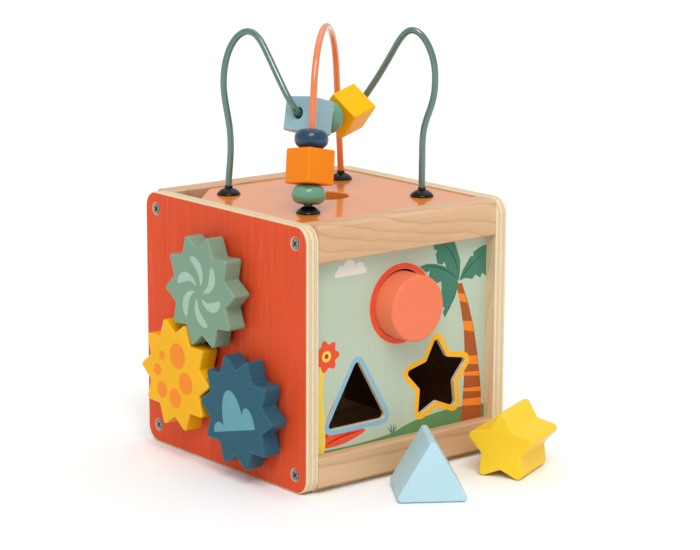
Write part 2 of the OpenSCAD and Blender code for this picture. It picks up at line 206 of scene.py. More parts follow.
class Shape:
    """A mesh under construction: points in drawing units, faces and their finish numbers."""

    def __init__(self) -> None:
        """Starts with no points and no faces."""
        self.points: list[Sequence[float]] = []
        self.faces: list[Sequence[int]] = []
        self.finishes: list[int] = []

    def add_points(self, points: Sequence[Sequence[float]]) -> list[int]:
        """Adds points and returns their numbers."""
        first = len(self.points)
        self.points += [tuple(p) for p in points]
        return list(range(first, len(self.points)))

    def add_face(self, corners: Sequence[int], finish: int) -> None:
        """Adds one face with a finish."""
        self.faces.append(tuple(corners))
        self.finishes.append(finish)

    def join_loops(self, a: Sequence[int], b: Sequence[int], finish: int) -> None:
        """Joins two closed loops of equal length with a band of quads."""
        count = len(a)
        for i in range(count):
            j = (i + 1) % count
            self.add_face((a[i], a[j], b[j], b[i]), finish)

    def build(self, name: str, place: Matrix, crease: float = 40.0) -> bpy.types.Object:
        """Makes the mesh object.

        Args:
            name: the piece's name.
            place: from the drawing to the frame.
            crease: the angle in degrees above which an edge stays sharp.

        Returns:
            The new object, at the frame's origin.
        """
        mesh = bpy.data.meshes.new(name)
        mesh.from_pydata([place @ Vector(p) for p in self.points], [], self.faces)
        mesh.polygons.foreach_set("material_index", self.finishes)
        mesh.polygons.foreach_set("use_smooth", [True] * len(self.faces))
        mesh.set_sharp_from_angle(angle=math.radians(crease))
        mesh.validate()
        piece = bpy.data.objects.new(name, mesh)
        bpy.context.scene.collection.objects.link(piece)
        normals = piece.modifiers.new("even_shading", "WEIGHTED_NORMAL")
        normals.keep_sharp = True
        normals.weight = 100
        return piece


def inside(outline: Outline, points: np.ndarray) -> np.ndarray:
    """Says which of some points lie inside an outline."""
    x, y = points[:, 0], points[:, 1]
    result = np.zeros(len(points), dtype=bool)
    for (x0, y0), (x1, y1) in zip(outline, outline[1:] + outline[:1]):
        if y0 != y1:
            result ^= ((y0 > y) != (y1 > y)) & (x < (x1 - x0) * (y - y0) / (y1 - y0) + x0)
    return result


def inward(loop: np.ndarray) -> np.ndarray:
    """Returns, for each point of a loop, the mitred direction to its left."""
    ahead = np.roll(loop, -1, axis=0) - loop
    ahead /= np.maximum(np.linalg.norm(ahead, axis=1, keepdims=True), 1e-9)
    left = np.stack([-ahead[:, 1], ahead[:, 0]], axis=1)
    both = left + np.roll(left, 1, axis=0)
    both /= np.maximum(np.linalg.norm(both, axis=1, keepdims=True), 1e-9)
    mitre = 1 / np.clip((both * left).sum(axis=1, keepdims=True), 0.6, 1.0)
    return both * mitre


@dataclass
class Board:
    """A flat piece cut from sheet or sawn stock, with eased edges and printed areas.

    The drawing's third axis is the outward one: the back face is at 0 and the front face
    at the thickness. Finish 0 is the front, 1 the edges and 2 the back; ink number n has
    finish 3 + n. The inks lie on the front, or on the back of a lined board.
    """

    FRONT: ClassVar[int] = 0
    EDGE: ClassVar[int] = 1
    BACK: ClassVar[int] = 2
    FIRST_INK: ClassVar[int] = 3
    BARE: ClassVar[int] = -1
    SPECK: ClassVar[float] = 1e-9

    outline: Outline
    thickness: float
    holes: list[Outline] = field(default_factory=list)
    ease: float = 0.5
    inks: Print = field(default_factory=list)
    arc_steps: int = 4
    lined: bool = False

    def front_cap(self) -> tuple[np.ndarray, list[tuple[int, int, int]], list[int]]:
        """Cuts the front face into triangles along every hole and every printed edge.

        Returns:
            The points, the triangles and each triangle's ink, or -1 for bare.
        """
        rims = [np.array(self.outline)] + [np.array(h)[::-1] for h in self.holes]
        rims = [rim + inward(rim) * self.ease for rim in rims]
        loops = [[tuple(p) for p in rim] for rim in rims] + [ink for ink, _ in self.inks]
        points: list[Vector] = []
        edges: list[tuple[int, int]] = []
        for loop in loops:
            first = len(points)
            points += [Vector(p) for p in loop]
            edges += [(first + i, first + (i + 1) % len(loop)) for i in range(len(loop))]
        cut = delaunay_2d_cdt(points, edges, [], 0, 1e-5)
        flat = np.array([(p[0], p[1]) for p in cut[0]])
        triangles = np.array(cut[2])
        centres = flat[triangles].mean(axis=1)
        kept = inside(loops[0], centres)
        for hole in loops[1:len(rims)]:
            kept &= ~inside(hole, centres)
        colour = np.full(len(triangles), self.BARE)
        for ink, number in self.inks:
            colour[inside(ink, centres)] = number
        a, b, c = (flat[triangles[:, k]] for k in range(3))
        area = (b - a)[:, 0] * (c - a)[:, 1] - (b - a)[:, 1] * (c - a)[:, 0]
        result = []
        chosen = []
        for triangle, keep, ink, size in zip(triangles, kept, colour, area):
            if keep and abs(size) > self.SPECK:
                corners = tuple(int(k) for k in triangle)
                result.append(corners if size > 0 else corners[::-1])
                chosen.append(int(ink))
        return flat, result, chosen

    @staticmethod
    def rim_loops(triangles: list[tuple[int, int, int]]) -> list[list[int]]:
        """Returns the cap's border loops, each with the material on its left."""
        edges = {(t[i], t[(i + 1) % 3]) for t in triangles for i in range(3)}
        after = {a: b for a, b in edges if (b, a) not in edges}
        loops = []
        while after:
            start, here = after.popitem()
            loop = [start]
            while here != start:
                loop.append(here)
                here = after.pop(here)
            loops.append(loop)
        return loops

    def shape(self) -> Shape:
        """Returns the board's closed mesh, in its drawing's millimetres."""
        flat, triangles, inks = self.front_cap()
        shape = Shape()
        used = sorted({k for t in triangles for k in t})
        front = dict(zip(used, shape.add_points([(*flat[k], self.thickness) for k in used])))
        back = dict(zip(used, shape.add_points([(*flat[k], 0.0) for k in used])))
        for triangle, ink in zip(triangles, inks):
            printed = ink != self.BARE
            shape.add_face([front[k] for k in triangle],
                           self.FIRST_INK + ink if printed and not self.lined else self.FRONT)
            shape.add_face([back[k] for k in reversed(triangle)],
                           self.FIRST_INK + ink if printed and self.lined else self.BACK)
        for loop in self.rim_loops(triangles):
            xy = flat[loop]
            out = -inward(xy)
            rings = [[front[k] for k in loop]]
            steps = range(1, self.arc_steps + 1)
            for step, ahead in [(k, True) for k in steps] + [(k, False) for k in reversed(steps)]:
                turn = math.pi / 2 * step / self.arc_steps
                reach = self.ease * math.sin(turn)
                drop = self.ease * (1 - math.cos(turn))
                z = self.thickness - drop if ahead else drop
                rings.append(shape.add_points([(*q, z) for q in xy + out * reach]))
            rings.append([back[k] for k in loop])
            for a, b in zip(rings, rings[1:]):
                shape.join_loops(b, a, self.EDGE)
        return shape


@dataclass
class Turning:
    """A piece turned on a lathe: a profile of radius and height spun round its axis."""

    profile: Outline
    segments: int = 72

    def shape(self) -> Shape:
        """Returns the closed mesh; a radius of 0 becomes a single point on the axis."""
        shape = Shape()
        closed = self.profile[0][0] > 0 and self.profile[-1][0] > 0
        rings = []
        for radius, height in self.profile:
            if radius <= ON_AXIS:
                rings.append(shape.add_points([(0, 0, height)]) * self.segments)
            else:
                rings.append(shape.add_points(
                    [(*polar(radius, 360 * i / self.segments), height) for i in range(self.segments)]))
        pairs = list(zip(rings, rings[1:])) + ([(rings[-1], rings[0])] if closed else [])
        for a, b in pairs:
            for i in range(self.segments):
                j = (i + 1) % self.segments
                corners = list(dict.fromkeys((a[i], a[j], b[j], b[i])))
                if len(corners) > 2:
                    shape.add_face(corners, 0)
        return shape


@dataclass
class BentRod:
    """A round rod swept along a route of points, with flat ends."""

    route: list[Vector]
    radius: float
    sides: int = 20

    def shape(self) -> Shape:
        """Returns the closed mesh, with rings carried along the route without twist."""
        shape = Shape()
        steps = [(b - a).normalized() for a, b in zip(self.route, self.route[1:])]
        ways = [(a + b).normalized() for a, b in zip([steps[0]] + steps, steps + [steps[-1]])]
        side = ways[0].orthogonal().normalized()
        rings = []
        for point, way in zip(self.route, ways):
            side = (side - way * side.dot(way)).normalized()
            other = way.cross(side)
            rings.append(shape.add_points([
                point + side * x + other * y for x, y in circle(self.radius, count=self.sides)]))
        for a, b in zip(rings, rings[1:]):
            shape.join_loops(a, b, 0)
        shape.add_face(rings[0][::-1], 0)
        shape.add_face(rings[-1], 0)
        return shape


# ---------------------------------------------------------------- shader effects


def linear(red: int, green: int, blue: int) -> tuple[float, float, float, float]:
    """Returns a paint-card colour, each part from 0 to 255, as a linear shader colour."""
    parts = [c / 255 for c in (red, green, blue)]
    r, g, b = (c / 12.92 if c <= 0.04045 else ((c + 0.055) / 1.055) ** 2.4 for c in parts)
    return (r, g, b, 1.0)


class Nodes:
    """Adds nodes to one shader tree and links them."""

    def __init__(self, tree: bpy.types.NodeTree) -> None:
        """Keeps the tree that the nodes go into."""
        self.tree = tree

    def add(self, kind: str, **settings: object) -> bpy.types.Node:
        """Adds a node of a kind, with settings such as operation or blend_type."""
        node = self.tree.nodes.new(kind)
        node.location = (len(self.tree.nodes) * 170, 0)
        for name, value in settings.items():
            setattr(node, name, value)
        return node

    def feed(self, socket: bpy.types.NodeSocket, value: object) -> None:
        """Links a socket to another, or sets its own value."""
        if isinstance(value, bpy.types.NodeSocket):
            self.tree.links.new(value, socket)
        else:
            socket.default_value = value

    def maths(self, operation: str, *values: object) -> bpy.types.NodeSocket:
        """Returns the result of a math node."""
        node = self.add("ShaderNodeMath", operation=operation)
        for socket, value in zip(node.inputs, values):
            self.feed(socket, value)
        return node.outputs[0]

    def blend(self, amount: object, a: object, b: object, how: str = "MIX") -> bpy.types.NodeSocket:
        """Returns two colours mixed by an amount."""
        node = self.add("ShaderNodeMix", data_type="RGBA", blend_type=how)
        for socket, value in zip((node.inputs[0], node.inputs[6], node.inputs[7]), (amount, a, b)):
            self.feed(socket, value)
        return node.outputs[2]

    def stretch(self, vector: object, scale: object) -> bpy.types.NodeSocket:
        """Returns a vector multiplied by another, part by part."""
        node = self.add("ShaderNodeVectorMath", operation="MULTIPLY")
        self.feed(node.inputs[0], vector)
        self.feed(node.inputs[1], scale)
        return node.outputs[0]

    def noise(self, vector: object, scale: float, detail: float = 4.0,
              rough: float = 0.55) -> bpy.types.NodeSocket:
        """Returns a noise value from 0 to 1."""
        node = self.add("ShaderNodeTexNoise")
        for name, value in (("Vector", vector), ("Scale", scale), ("Detail", detail), ("Roughness", rough)):
            self.feed(node.inputs[name], value)
        return node.outputs[0]

    def between(self, value: object, low: float, high: float, to_low: object = 0.0,
                to_high: object = 1.0) -> bpy.types.NodeSocket:
        """Returns a value mapped smoothly from one range to another, held at the ends."""
        node = self.add("ShaderNodeMapRange", interpolation_type="SMOOTHSTEP")
        for socket, part in zip(node.inputs, (value, low, high, to_low, to_high)):
            self.feed(socket, part)
        return node.outputs[0]


class Kind(Enum):
    """The kinds of socket that an effect has."""

    VALUE = "NodeSocketFloat"
    COLOR = "NodeSocketColor"
    VECTOR = "NodeSocketVector"


@dataclass
class Effect:
    """A shader node group with named sockets, built once and placed where it is needed."""

    name: str
    inputs: dict[str, tuple[Kind, object]]
    outputs: dict[str, Kind]
    wiring: Callable[[Nodes, dict, dict], None]

    def tree(self) -> bpy.types.NodeTree:
        """Returns the node group, making it the first time."""
        group = bpy.data.node_groups.get(self.name)
        if group:
            return group
        group = bpy.data.node_groups.new(self.name, "ShaderNodeTree")
        for name, (kind, value) in self.inputs.items():
            socket = group.interface.new_socket(name, in_out="INPUT", socket_type=kind.value)
            if value is not None:
                socket.default_value = value
        for name, kind in self.outputs.items():
            group.interface.new_socket(name, in_out="OUTPUT", socket_type=kind.value)
        nodes = Nodes(group)
        source = nodes.add("NodeGroupInput")
        target = nodes.add("NodeGroupOutput")
        self.wiring(nodes, {s.name: s for s in source.outputs if s.name},
                    {s.name: s for s in target.inputs if s.name})
        return group

    def place(self, nodes: Nodes, **values: object) -> dict[str, bpy.types.NodeSocket]:
        """Puts the effect in a material.

        Args:
            nodes: the material's nodes.
            values: each input's value or link; an underscore stands for a space.

        Returns:
            The effect's outputs by name.
        """
        node = nodes.add("ShaderNodeGroup", node_tree=self.tree())
        for name, value in values.items():
            nodes.feed(node.inputs[name.replace("_", " ")], value)
        return {s.name: s for s in node.outputs}


def wire_fibres(n: Nodes, i: dict, o: dict) -> None:
    """Fine straight wood fibres with a few longer streaks."""
    fine = n.noise(n.stretch(i["Vector"], i["Stretch"]), 1.0, 5.0, 0.65)
    broad = n.noise(n.stretch(i["Vector"], n.stretch(i["Stretch"], (0.3, 0.3, 0.3))), 1.0, 2.0, 0.5)
    n.feed(o["Mask"], n.maths("ADD", n.maths("MULTIPLY", fine, 0.6), n.maths("MULTIPLY", broad, 0.4)))


def wire_rings(n: Nodes, i: dict, o: dict) -> None:
    """Growth rings round a slanted pith, cut by the surface into long arched lines."""
    warp = n.noise(n.stretch(i["Vector"], (14.0, 34.0, 34.0)), 1.0, 3.0, 0.5)
    slow = n.noise(n.stretch(i["Vector"], (5.0, 9.0, 9.0)), 1.0, 1.0, 0.4)
    part = n.add("ShaderNodeSeparateXYZ")
    n.feed(part.inputs[0], i["Vector"])
    centre = n.add("ShaderNodeSeparateXYZ")
    n.feed(centre.inputs[0], i["Pith"])
    sway = n.maths("MULTIPLY", i["Warp"], 2.2)
    dy = n.maths("SUBTRACT", part.outputs[1], centre.outputs[1])
    dz = n.maths("SUBTRACT", part.outputs[2], centre.outputs[2])
    lean = n.maths("MULTIPLY", n.maths("SUBTRACT", part.outputs[0], centre.outputs[0]), i["Slant"])
    dz = n.maths("ADD", dz, lean)
    reach = n.maths("SQRT", n.maths("ADD", n.maths("MULTIPLY", dy, dy), n.maths("MULTIPLY", dz, dz)))
    bent = n.maths("ADD", reach, n.maths("MULTIPLY", n.maths("SUBTRACT", warp, 0.5), i["Warp"]))
    bent = n.maths("ADD", bent, n.maths("MULTIPLY", n.maths("SUBTRACT", slow, 0.5), sway))
    phase = n.maths("FRACT", n.maths("DIVIDE", bent, i["Spacing"]))
    rise = n.between(phase, 0.0, 0.86)
    fall = n.between(phase, 0.9, 1.0, 1.0, 0.0)
    soft = n.maths("MULTIPLY", n.maths("POWER", rise, 2.2), fall)
    line = n.maths("MULTIPLY", n.between(phase, 0.8, 0.89), fall)
    n.feed(o["Soft"], soft)
    n.feed(o["Line"], line)


def wire_timber(n: Nodes, i: dict, o: dict) -> None:
    """Clear-lacquered hardwood: arched ring lines, fibres and short pores."""
    rings = RINGS.place(n, Vector=i["Vector"], Pith=i["Pith"], Slant=i["Slant"],
                        Spacing=i["Spacing"], Warp=i["Warp"])
    fibres = FIBRES.place(n, Vector=i["Vector"], Stretch=(60.0, 2600.0, 2600.0))["Mask"]
    patch = n.noise(n.stretch(i["Vector"], (9.0, 30.0, 30.0)), 1.0, 2.0)
    body = n.blend(n.between(patch, 0.3, 0.75), i["Light"], i["Mid"])
    amount = n.maths("ADD", n.maths("MULTIPLY", rings["Soft"], 0.16),
                     n.maths("MULTIPLY", rings["Line"], 0.26))
    color = n.blend(amount, body, i["Dark"])
    streak = n.between(fibres, 0.42, 0.72)
    color = n.blend(n.maths("MULTIPLY", streak, 0.16), color, i["Dark"])
    pores = n.noise(n.stretch(i["Vector"], (160.0, 2200.0, 2200.0)), 1.0, 2.0)
    pore = n.between(pores, 0.66, 0.76)
    color = n.blend(n.maths("MULTIPLY", pore, 0.25), color, i["Dark"])
    n.feed(o["Color"], color)
    n.feed(o["Height"], n.maths("SUBTRACT", n.maths("MULTIPLY", fibres, 0.6), pore))


def wire_ply_edge(n: Nodes, i: dict, o: dict) -> None:
    """The edge of plywood: bands of long grain and end grain with thin glue lines."""
    wobble = n.noise(i["Vector"], 60.0, 2.0)
    depth = n.maths("ADD", i["Depth"], n.maths("MULTIPLY", n.maths("SUBTRACT", wobble, 0.5), 0.0003))
    layer = n.maths("DIVIDE", depth, i["Layer"])
    phase = n.maths("FRACT", layer)
    odd = n.maths("GREATER_THAN", n.maths("FRACT", n.maths("MULTIPLY", layer, 0.5)), 0.5)
    edge = n.maths("MULTIPLY", n.between(phase, 0.05, 0.16), n.between(phase, 0.88, 0.97, 1.0, 0.0))
    speck = n.noise(i["Vector"], 1500.0, 3.0)
    streak = n.noise(n.stretch(i["Vector"], (300.0, 300.0, 300.0)), 1.0, 4.0)
    color = n.blend(odd, i["Light"], i["Dark"])
    ends = n.maths("ADD", n.maths("MULTIPLY", odd, 0.25), 0.08)
    color = n.blend(n.maths("MULTIPLY", n.between(speck, 0.4, 0.75), ends), color, i["Glue"])
    color = n.blend(n.maths("MULTIPLY", n.between(streak, 0.35, 0.7), 0.12), color, i["Glue"])
    color = n.blend(n.maths("MULTIPLY", n.maths("SUBTRACT", 1.0, edge), 0.45), color, i["Glue"])
    n.feed(o["Color"], color)
    n.feed(o["Height"], n.maths("ADD", n.maths("MULTIPLY", edge, 0.5), n.maths("MULTIPLY", speck, 0.5)))


def wire_coating(n: Nodes, i: dict, o: dict) -> None:
    """Sprayed colour: slow drift in depth of colour, a faint peel and fibres showing through."""
    slow = n.noise(i["Vector"], 26.0, 3.0)
    fine = n.noise(i["Vector"], 900.0, 2.0)
    fibres = FIBRES.place(n, Vector=i["Vector"], Stretch=i["Stretch"])["Mask"]
    deep = n.blend(1.0, i["Color"], (0.80, 0.78, 0.76, 1.0), "MULTIPLY")
    pale = n.blend(0.12, i["Color"], (1.0, 1.0, 1.0, 1.0))
    color = n.blend(n.maths("MULTIPLY", n.between(slow, 0.35, 0.7), i["Drift"]), i["Color"], deep)
    grain = n.maths("MULTIPLY", n.between(fibres, 0.45, 0.68), i["Fibre"])
    color = n.blend(grain, color, deep)
    lift = n.maths("MULTIPLY", n.between(fibres, 0.33, 0.46, 1.0, 0.0), i["Fibre"])
    color = n.blend(lift, color, pale)
    n.feed(o["Color"], color)
    n.feed(o["Height"], n.maths("ADD", n.maths("MULTIPLY", fine, 0.35),
                                n.maths("MULTIPLY", fibres, i["Fibre"])))


def wire_handling(n: Nodes, i: dict, o: dict) -> None:
    """Roughness that varies with faint handling marks."""
    smear = n.noise(n.stretch(i["Vector"], (40.0, 40.0, 90.0)), 1.0, 5.0, 0.6)
    spots = n.noise(i["Vector"], 420.0, 2.0)
    spread = n.maths("ADD", n.maths("MULTIPLY", n.between(smear, 0.4, 0.7), 0.7),
                     n.maths("MULTIPLY", spots, 0.3))
    change = n.maths("MULTIPLY", n.maths("SUBTRACT", spread, 0.4), i["Marks"])
    n.feed(o["Roughness"], n.maths("ADD", i["Base"], change))


GREY = (0.5, 0.5, 0.5, 1.0)
FIBRES = Effect("wood_fibres", {"Vector": (Kind.VECTOR, None), "Stretch": (Kind.VECTOR, (60, 900, 900))},
                {"Mask": Kind.VALUE}, wire_fibres)
RINGS = Effect("growth_rings", {"Vector": (Kind.VECTOR, None), "Pith": (Kind.VECTOR, (0, 0, 0)),
                                "Slant": (Kind.VALUE, 0.1), "Spacing": (Kind.VALUE, 0.004),
                                "Warp": (Kind.VALUE, 0.004)},
               {"Soft": Kind.VALUE, "Line": Kind.VALUE}, wire_rings)
TIMBER = Effect("clear_timber", {"Vector": (Kind.VECTOR, None), "Light": (Kind.COLOR, GREY),
                                 "Mid": (Kind.COLOR, GREY), "Dark": (Kind.COLOR, GREY),
                                 "Pith": (Kind.VECTOR, (0, 0, 0)), "Slant": (Kind.VALUE, 0.1),
                                 "Spacing": (Kind.VALUE, 0.004), "Warp": (Kind.VALUE, 0.004)},
                {"Color": Kind.COLOR, "Height": Kind.VALUE}, wire_timber)
PLY_EDGE = Effect("plywood_edge", {"Vector": (Kind.VECTOR, None), "Depth": (Kind.VALUE, 0.0),
                                   "Layer": (Kind.VALUE, 0.0015), "Light": (Kind.COLOR, GREY),
                                   "Dark": (Kind.COLOR, GREY), "Glue": (Kind.COLOR, GREY)},
                  {"Color": Kind.COLOR, "Height": Kind.VALUE}, wire_ply_edge)
COATING = Effect("sprayed_coating", {"Vector": (Kind.VECTOR, None), "Color": (Kind.COLOR, GREY),
                                     "Stretch": (Kind.VECTOR, (60, 900, 900)),
                                     "Drift": (Kind.VALUE, 0.2), "Fibre": (Kind.VALUE, 0.1)},
                 {"Color": Kind.COLOR, "Height": Kind.VALUE}, wire_coating)
HANDLING = Effect("handling_marks", {"Vector": (Kind.VECTOR, None), "Base": (Kind.VALUE, 0.4),
                                     "Marks": (Kind.VALUE, 0.1)},
                  {"Roughness": Kind.VALUE}, wire_handling)


# ---------------------------------------------------------------- finishes


Color = tuple[float, float, float, float]

MADE: dict[str, bpy.types.Material] = {}


@dataclass(frozen=True)
class Finish:
    """What every finish shares: a name, its gloss and how strongly its surface is relieved."""

    name: str
    roughness: float = 0.4
    marks: float = 0.08
    shine: float = 0.3
    coat: float = 0.0
    coat_roughness: float = 0.06
    relief: float = 0.1
    depth: float = 0.0002

    def surface(self, nodes: Nodes, vector: bpy.types.NodeSocket) -> tuple[object, object]:
        """Returns the colour and height sockets; each finish has its own."""
        raise NotImplementedError

    def trim(self, shader: bpy.types.Node) -> None:
        """Sets the shader's own constant sockets."""

    def material(self) -> bpy.types.Material:
        """Returns the material, making it the first time."""
        if self.name in MADE:
            return MADE[self.name]
        material = MADE[self.name] = bpy.data.materials.new("finish_" + self.name)
        material.use_nodes = True
        material.node_tree.nodes.clear()
        nodes = Nodes(material.node_tree)
        vector = nodes.add("ShaderNodeTexCoord").outputs["Object"]
        shader = nodes.add("ShaderNodeBsdfPrincipled")
        color, height = self.surface(nodes, vector)
        nodes.feed(shader.inputs["Base Color"], color)
        marks = HANDLING.place(nodes, Vector=vector, Base=self.roughness, Marks=self.marks)
        nodes.feed(shader.inputs["Roughness"], marks["Roughness"])
        shader.inputs["Specular IOR Level"].default_value = self.shine
        shader.inputs["Coat Weight"].default_value = self.coat
        shader.inputs["Coat Roughness"].default_value = self.coat_roughness
        bump = nodes.add("ShaderNodeBump")
        bump.inputs["Strength"].default_value = self.relief
        bump.inputs["Distance"].default_value = self.depth
        nodes.feed(bump.inputs["Height"], height)
        nodes.feed(shader.inputs["Normal"], bump.outputs[0])
        self.trim(shader)
        end = nodes.add("ShaderNodeOutputMaterial")
        nodes.feed(end.inputs["Surface"], shader.outputs[0])
        return material


@dataclass(frozen=True)
class Coat(Finish):
    """Opaque colour sprayed or printed on wood; fibre sets how much wood shows through."""

    color: Color = GREY
    drift: float = 0.2
    fibre: float = 0.1
    stretch: Place = (60.0, 900.0, 900.0)

    def surface(self, nodes: Nodes, vector: bpy.types.NodeSocket) -> tuple[object, object]:
        """Returns the drifting colour and its faint peel."""
        out = COATING.place(nodes, Vector=vector, Color=self.color, Stretch=self.stretch,
                            Drift=self.drift, Fibre=self.fibre)
        return out["Color"], out["Height"]


@dataclass(frozen=True)
class Metal(Coat):
    """Bare metal with fine scratches."""

    def trim(self, shader: bpy.types.Node) -> None:
        """Makes the shader metallic."""
        shader.inputs["Metallic"].default_value = 1.0


class Grain(Enum):
    """Which way a wood's grain runs, as the frame's axes in the order along and across it."""

    ALONG_X = (0, 1, 2)
    ALONG_Z = (2, 0, 1)


@dataclass(frozen=True)
class Timber(Finish):
    """Clear-finished solid wood or veneer."""

    light: Color = GREY
    mid: Color = GREY
    dark: Color = GREY
    grain: Grain = Grain.ALONG_X
    pith: Place = (0.02, 0.0, 0.05)
    slant: float = 0.12
    spacing: float = 0.0055
    warp: float = 0.006

    def surface(self, nodes: Nodes, vector: bpy.types.NodeSocket) -> tuple[object, object]:
        """Returns the wood's colour and relief, with the axes swapped for the grain."""
        part = nodes.add("ShaderNodeSeparateXYZ")
        nodes.feed(part.inputs[0], vector)
        join = nodes.add("ShaderNodeCombineXYZ")
        for socket, axis in zip(join.inputs, self.grain.value):
            nodes.feed(socket, part.outputs[axis])
        out = TIMBER.place(nodes, Vector=join.outputs[0], Light=self.light, Mid=self.mid,
                           Dark=self.dark, Pith=self.pith, Slant=self.slant,
                           Spacing=self.spacing, Warp=self.warp)
        return out["Color"], out["Height"]


@dataclass(frozen=True)
class PlyEdge(Finish):
    """The layered edge of a plywood panel, measured inwards from one face."""

    axis: int = 0
    face: float = 0.0
    inwards: float = 1.0
    layer: float = 0.0015

    def surface(self, nodes: Nodes, vector: bpy.types.NodeSocket) -> tuple[object, object]:
        """Returns the layers' colour and relief."""
        part = nodes.add("ShaderNodeSeparateXYZ")
        nodes.feed(part.inputs[0], vector)
        past = nodes.maths("SUBTRACT", part.outputs[self.axis], self.face)
        depth = nodes.maths("MULTIPLY", past, self.inwards)
        out = PLY_EDGE.place(nodes, Vector=vector, Depth=depth, Layer=self.layer,
                             Light=linear(232, 214, 180), Dark=linear(220, 198, 160),
                             Glue=linear(178, 146, 106))
        return out["Color"], out["Height"]


def gloss(name: str, color: Color, **more: object) -> Coat:
    """Returns a satin sprayed lacquer on turned or sawn wood."""
    settings = {"roughness": 0.36, "shine": 0.12, "coat": 0.0, "coat_roughness": 0.1, "drift": 0.2,
                "fibre": 0.06, "relief": 0.06, **more}
    return Coat(name=name, color=color, **settings)


def ink(name: str, color: Color) -> Coat:
    """Returns a matt printed colour with the veneer's fibres showing through."""
    return Coat(name=name, color=color, roughness=0.55, marks=0.1, shine=0.2, drift=0.12, fibre=0.16,
                stretch=(900.0, 900.0, 45.0), relief=0.08)


BEECH = (linear(216, 178, 140), linear(208, 167, 127), linear(172, 122, 80))
RAIL_WOOD = Timber("rail_timber", 0.45, light=BEECH[0], mid=BEECH[1], dark=BEECH[2], relief=0.12,
                   pith=(0.03, -0.06, 0.175), slant=0.2, spacing=0.0062, warp=0.019)
LOW_RAIL_WOOD = Timber("low_rail_timber", 0.45, light=BEECH[0], mid=BEECH[1], dark=BEECH[2],
                       pith=(0.05, 0.02, 0.06), slant=0.05, spacing=0.007, warp=0.004, relief=0.12)
VENEER = Timber("birch_veneer", 0.45, light=linear(228, 206, 172), mid=linear(220, 194, 156),
                dark=linear(190, 152, 112), grain=Grain.ALONG_Z, pith=(0.0, 0.12, 0.02), slant=0.2,
                spacing=0.008, warp=0.012, relief=0.1)
# Dark brown veneer on the box's inside faces and ledges: painted shade for the shade inside the closed box,
# not the ply's own colour.
PAINTED_SHADE_VENEER = Timber("inner_veneer", 0.6, light=linear(122, 84, 54), mid=linear(108, 72, 46),
                      dark=linear(72, 46, 30), pith=(0.0, 0.1, -0.1), slant=0.15,
                      spacing=0.009, warp=0.012)
BASE_VENEER = Timber("base_veneer", 0.55, light=linear(232, 200, 154), mid=linear(222, 186, 138),
                     dark=linear(160, 118, 76), pith=(0.0, 0.1, -0.1), slant=0.15,
                     spacing=0.009, warp=0.012)
LEFT_EDGE = PlyEdge("left_panel_edge", 0.5, axis=0, face=-0.0785, inwards=1.0, layer=0.0018)
RIGHT_EDGE = PlyEdge("right_panel_edge", 0.5, axis=0, face=0.0785, inwards=-1.0, layer=0.0018)
THIN_EDGE = PlyEdge("thin_panel_edge", 0.5, axis=1, face=-0.0723, inwards=1.0, layer=0.001)
RED_PRINT = Coat("red_print", 0.5, marks=0.12, shine=0.12, color=linear(222, 80, 40), drift=0.22,
                 fibre=0.5, stretch=(900.0, 900.0, 40.0), relief=0.1)
LID_LACQUER = Coat("lid_lacquer", 0.4, marks=0.05, coat=0.8, coat_roughness=0.06,
                   color=linear(240, 136, 38), drift=0.18, fibre=0.14, relief=0.03,
                   stretch=(40.0, 700.0, 700.0))
GREEN_LACQUER = gloss("sage_lacquer", linear(122, 154, 130), coat=0.05)
YELLOW_LACQUER = gloss("sun_lacquer", linear(240, 178, 14))
NAVY_LACQUER = gloss("petrol_lacquer", linear(34, 88, 106), coat=0.05)
PETAL_INK = ink("petal_ink", linear(158, 192, 172))
SPOT_INK = ink("spot_ink", linear(240, 138, 28))
HILLS_INK = ink("hills_ink", linear(98, 158, 168))
CORAL = gloss("coral_paint", linear(236, 124, 88))
PALE_BLUE = gloss("pale_blue_paint", linear(180, 214, 224))
STAR_YELLOW = gloss("star_paint", linear(248, 204, 50))
BEAD_GREEN = gloss("bead_sage", linear(96, 152, 124), coat=0.6, coat_roughness=0.08, shine=0.3)
BEAD_ORANGE = gloss("bead_orange", linear(236, 130, 18))
BEAD_NAVY = gloss("bead_petrol", linear(10, 56, 86), coat=0.6, coat_roughness=0.08, shine=0.25)
BEAD_BLUE = gloss("bead_mist", linear(148, 184, 192))
BEAD_YELLOW = gloss("bead_sun", linear(250, 184, 12))
GREEN_ENAMEL = gloss("sage_enamel", linear(62, 106, 94), coat=1.0, coat_roughness=0.06, shine=1.0,
                     fibre=0.02, roughness=0.22)
ORANGE_ENAMEL = gloss("coral_enamel", linear(232, 120, 66), coat=0.8, coat_roughness=0.06, shine=0.7,
                       fibre=0.02, roughness=0.22)
BLACK_PLASTIC = gloss("black_plastic", linear(8, 7, 7), shine=0.35, fibre=0.0, roughness=0.14)
STEEL = Metal("screw_steel", 0.32, marks=0.2, color=linear(150, 146, 140), drift=0.5, fibre=0.2,
              stretch=(1500.0, 1500.0, 1500.0), relief=0.15)


# ---------------------------------------------------------------- pieces


def finish_piece(piece: bpy.types.Object, body: str, finishes: Sequence[Finish],
                 replaced: Sequence[str]) -> None:
    """Dresses a piece, fixes it to its body and reports it.

    Args:
        piece: the object, in place.
        body: the body that it rides on.
        finishes: one finish for each material number of the mesh.
        replaced: the frame's nodes that it stands for.
    """
    for finish in finishes:
        piece.data.materials.append(finish.material())
    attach(piece, body)
    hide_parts(*replaced)
    LOG.info("%s: %d faces on %s", piece.name, len(piece.data.polygons), body)


def dress_nodes(finish: Finish, *names: str) -> None:
    """Gives some of the frame's own nodes a finish."""
    for name in names:
        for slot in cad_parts[name].material_slots:
            slot.material = finish.material()
        LOG.info("%s: kept, with %s", name, finish.name)


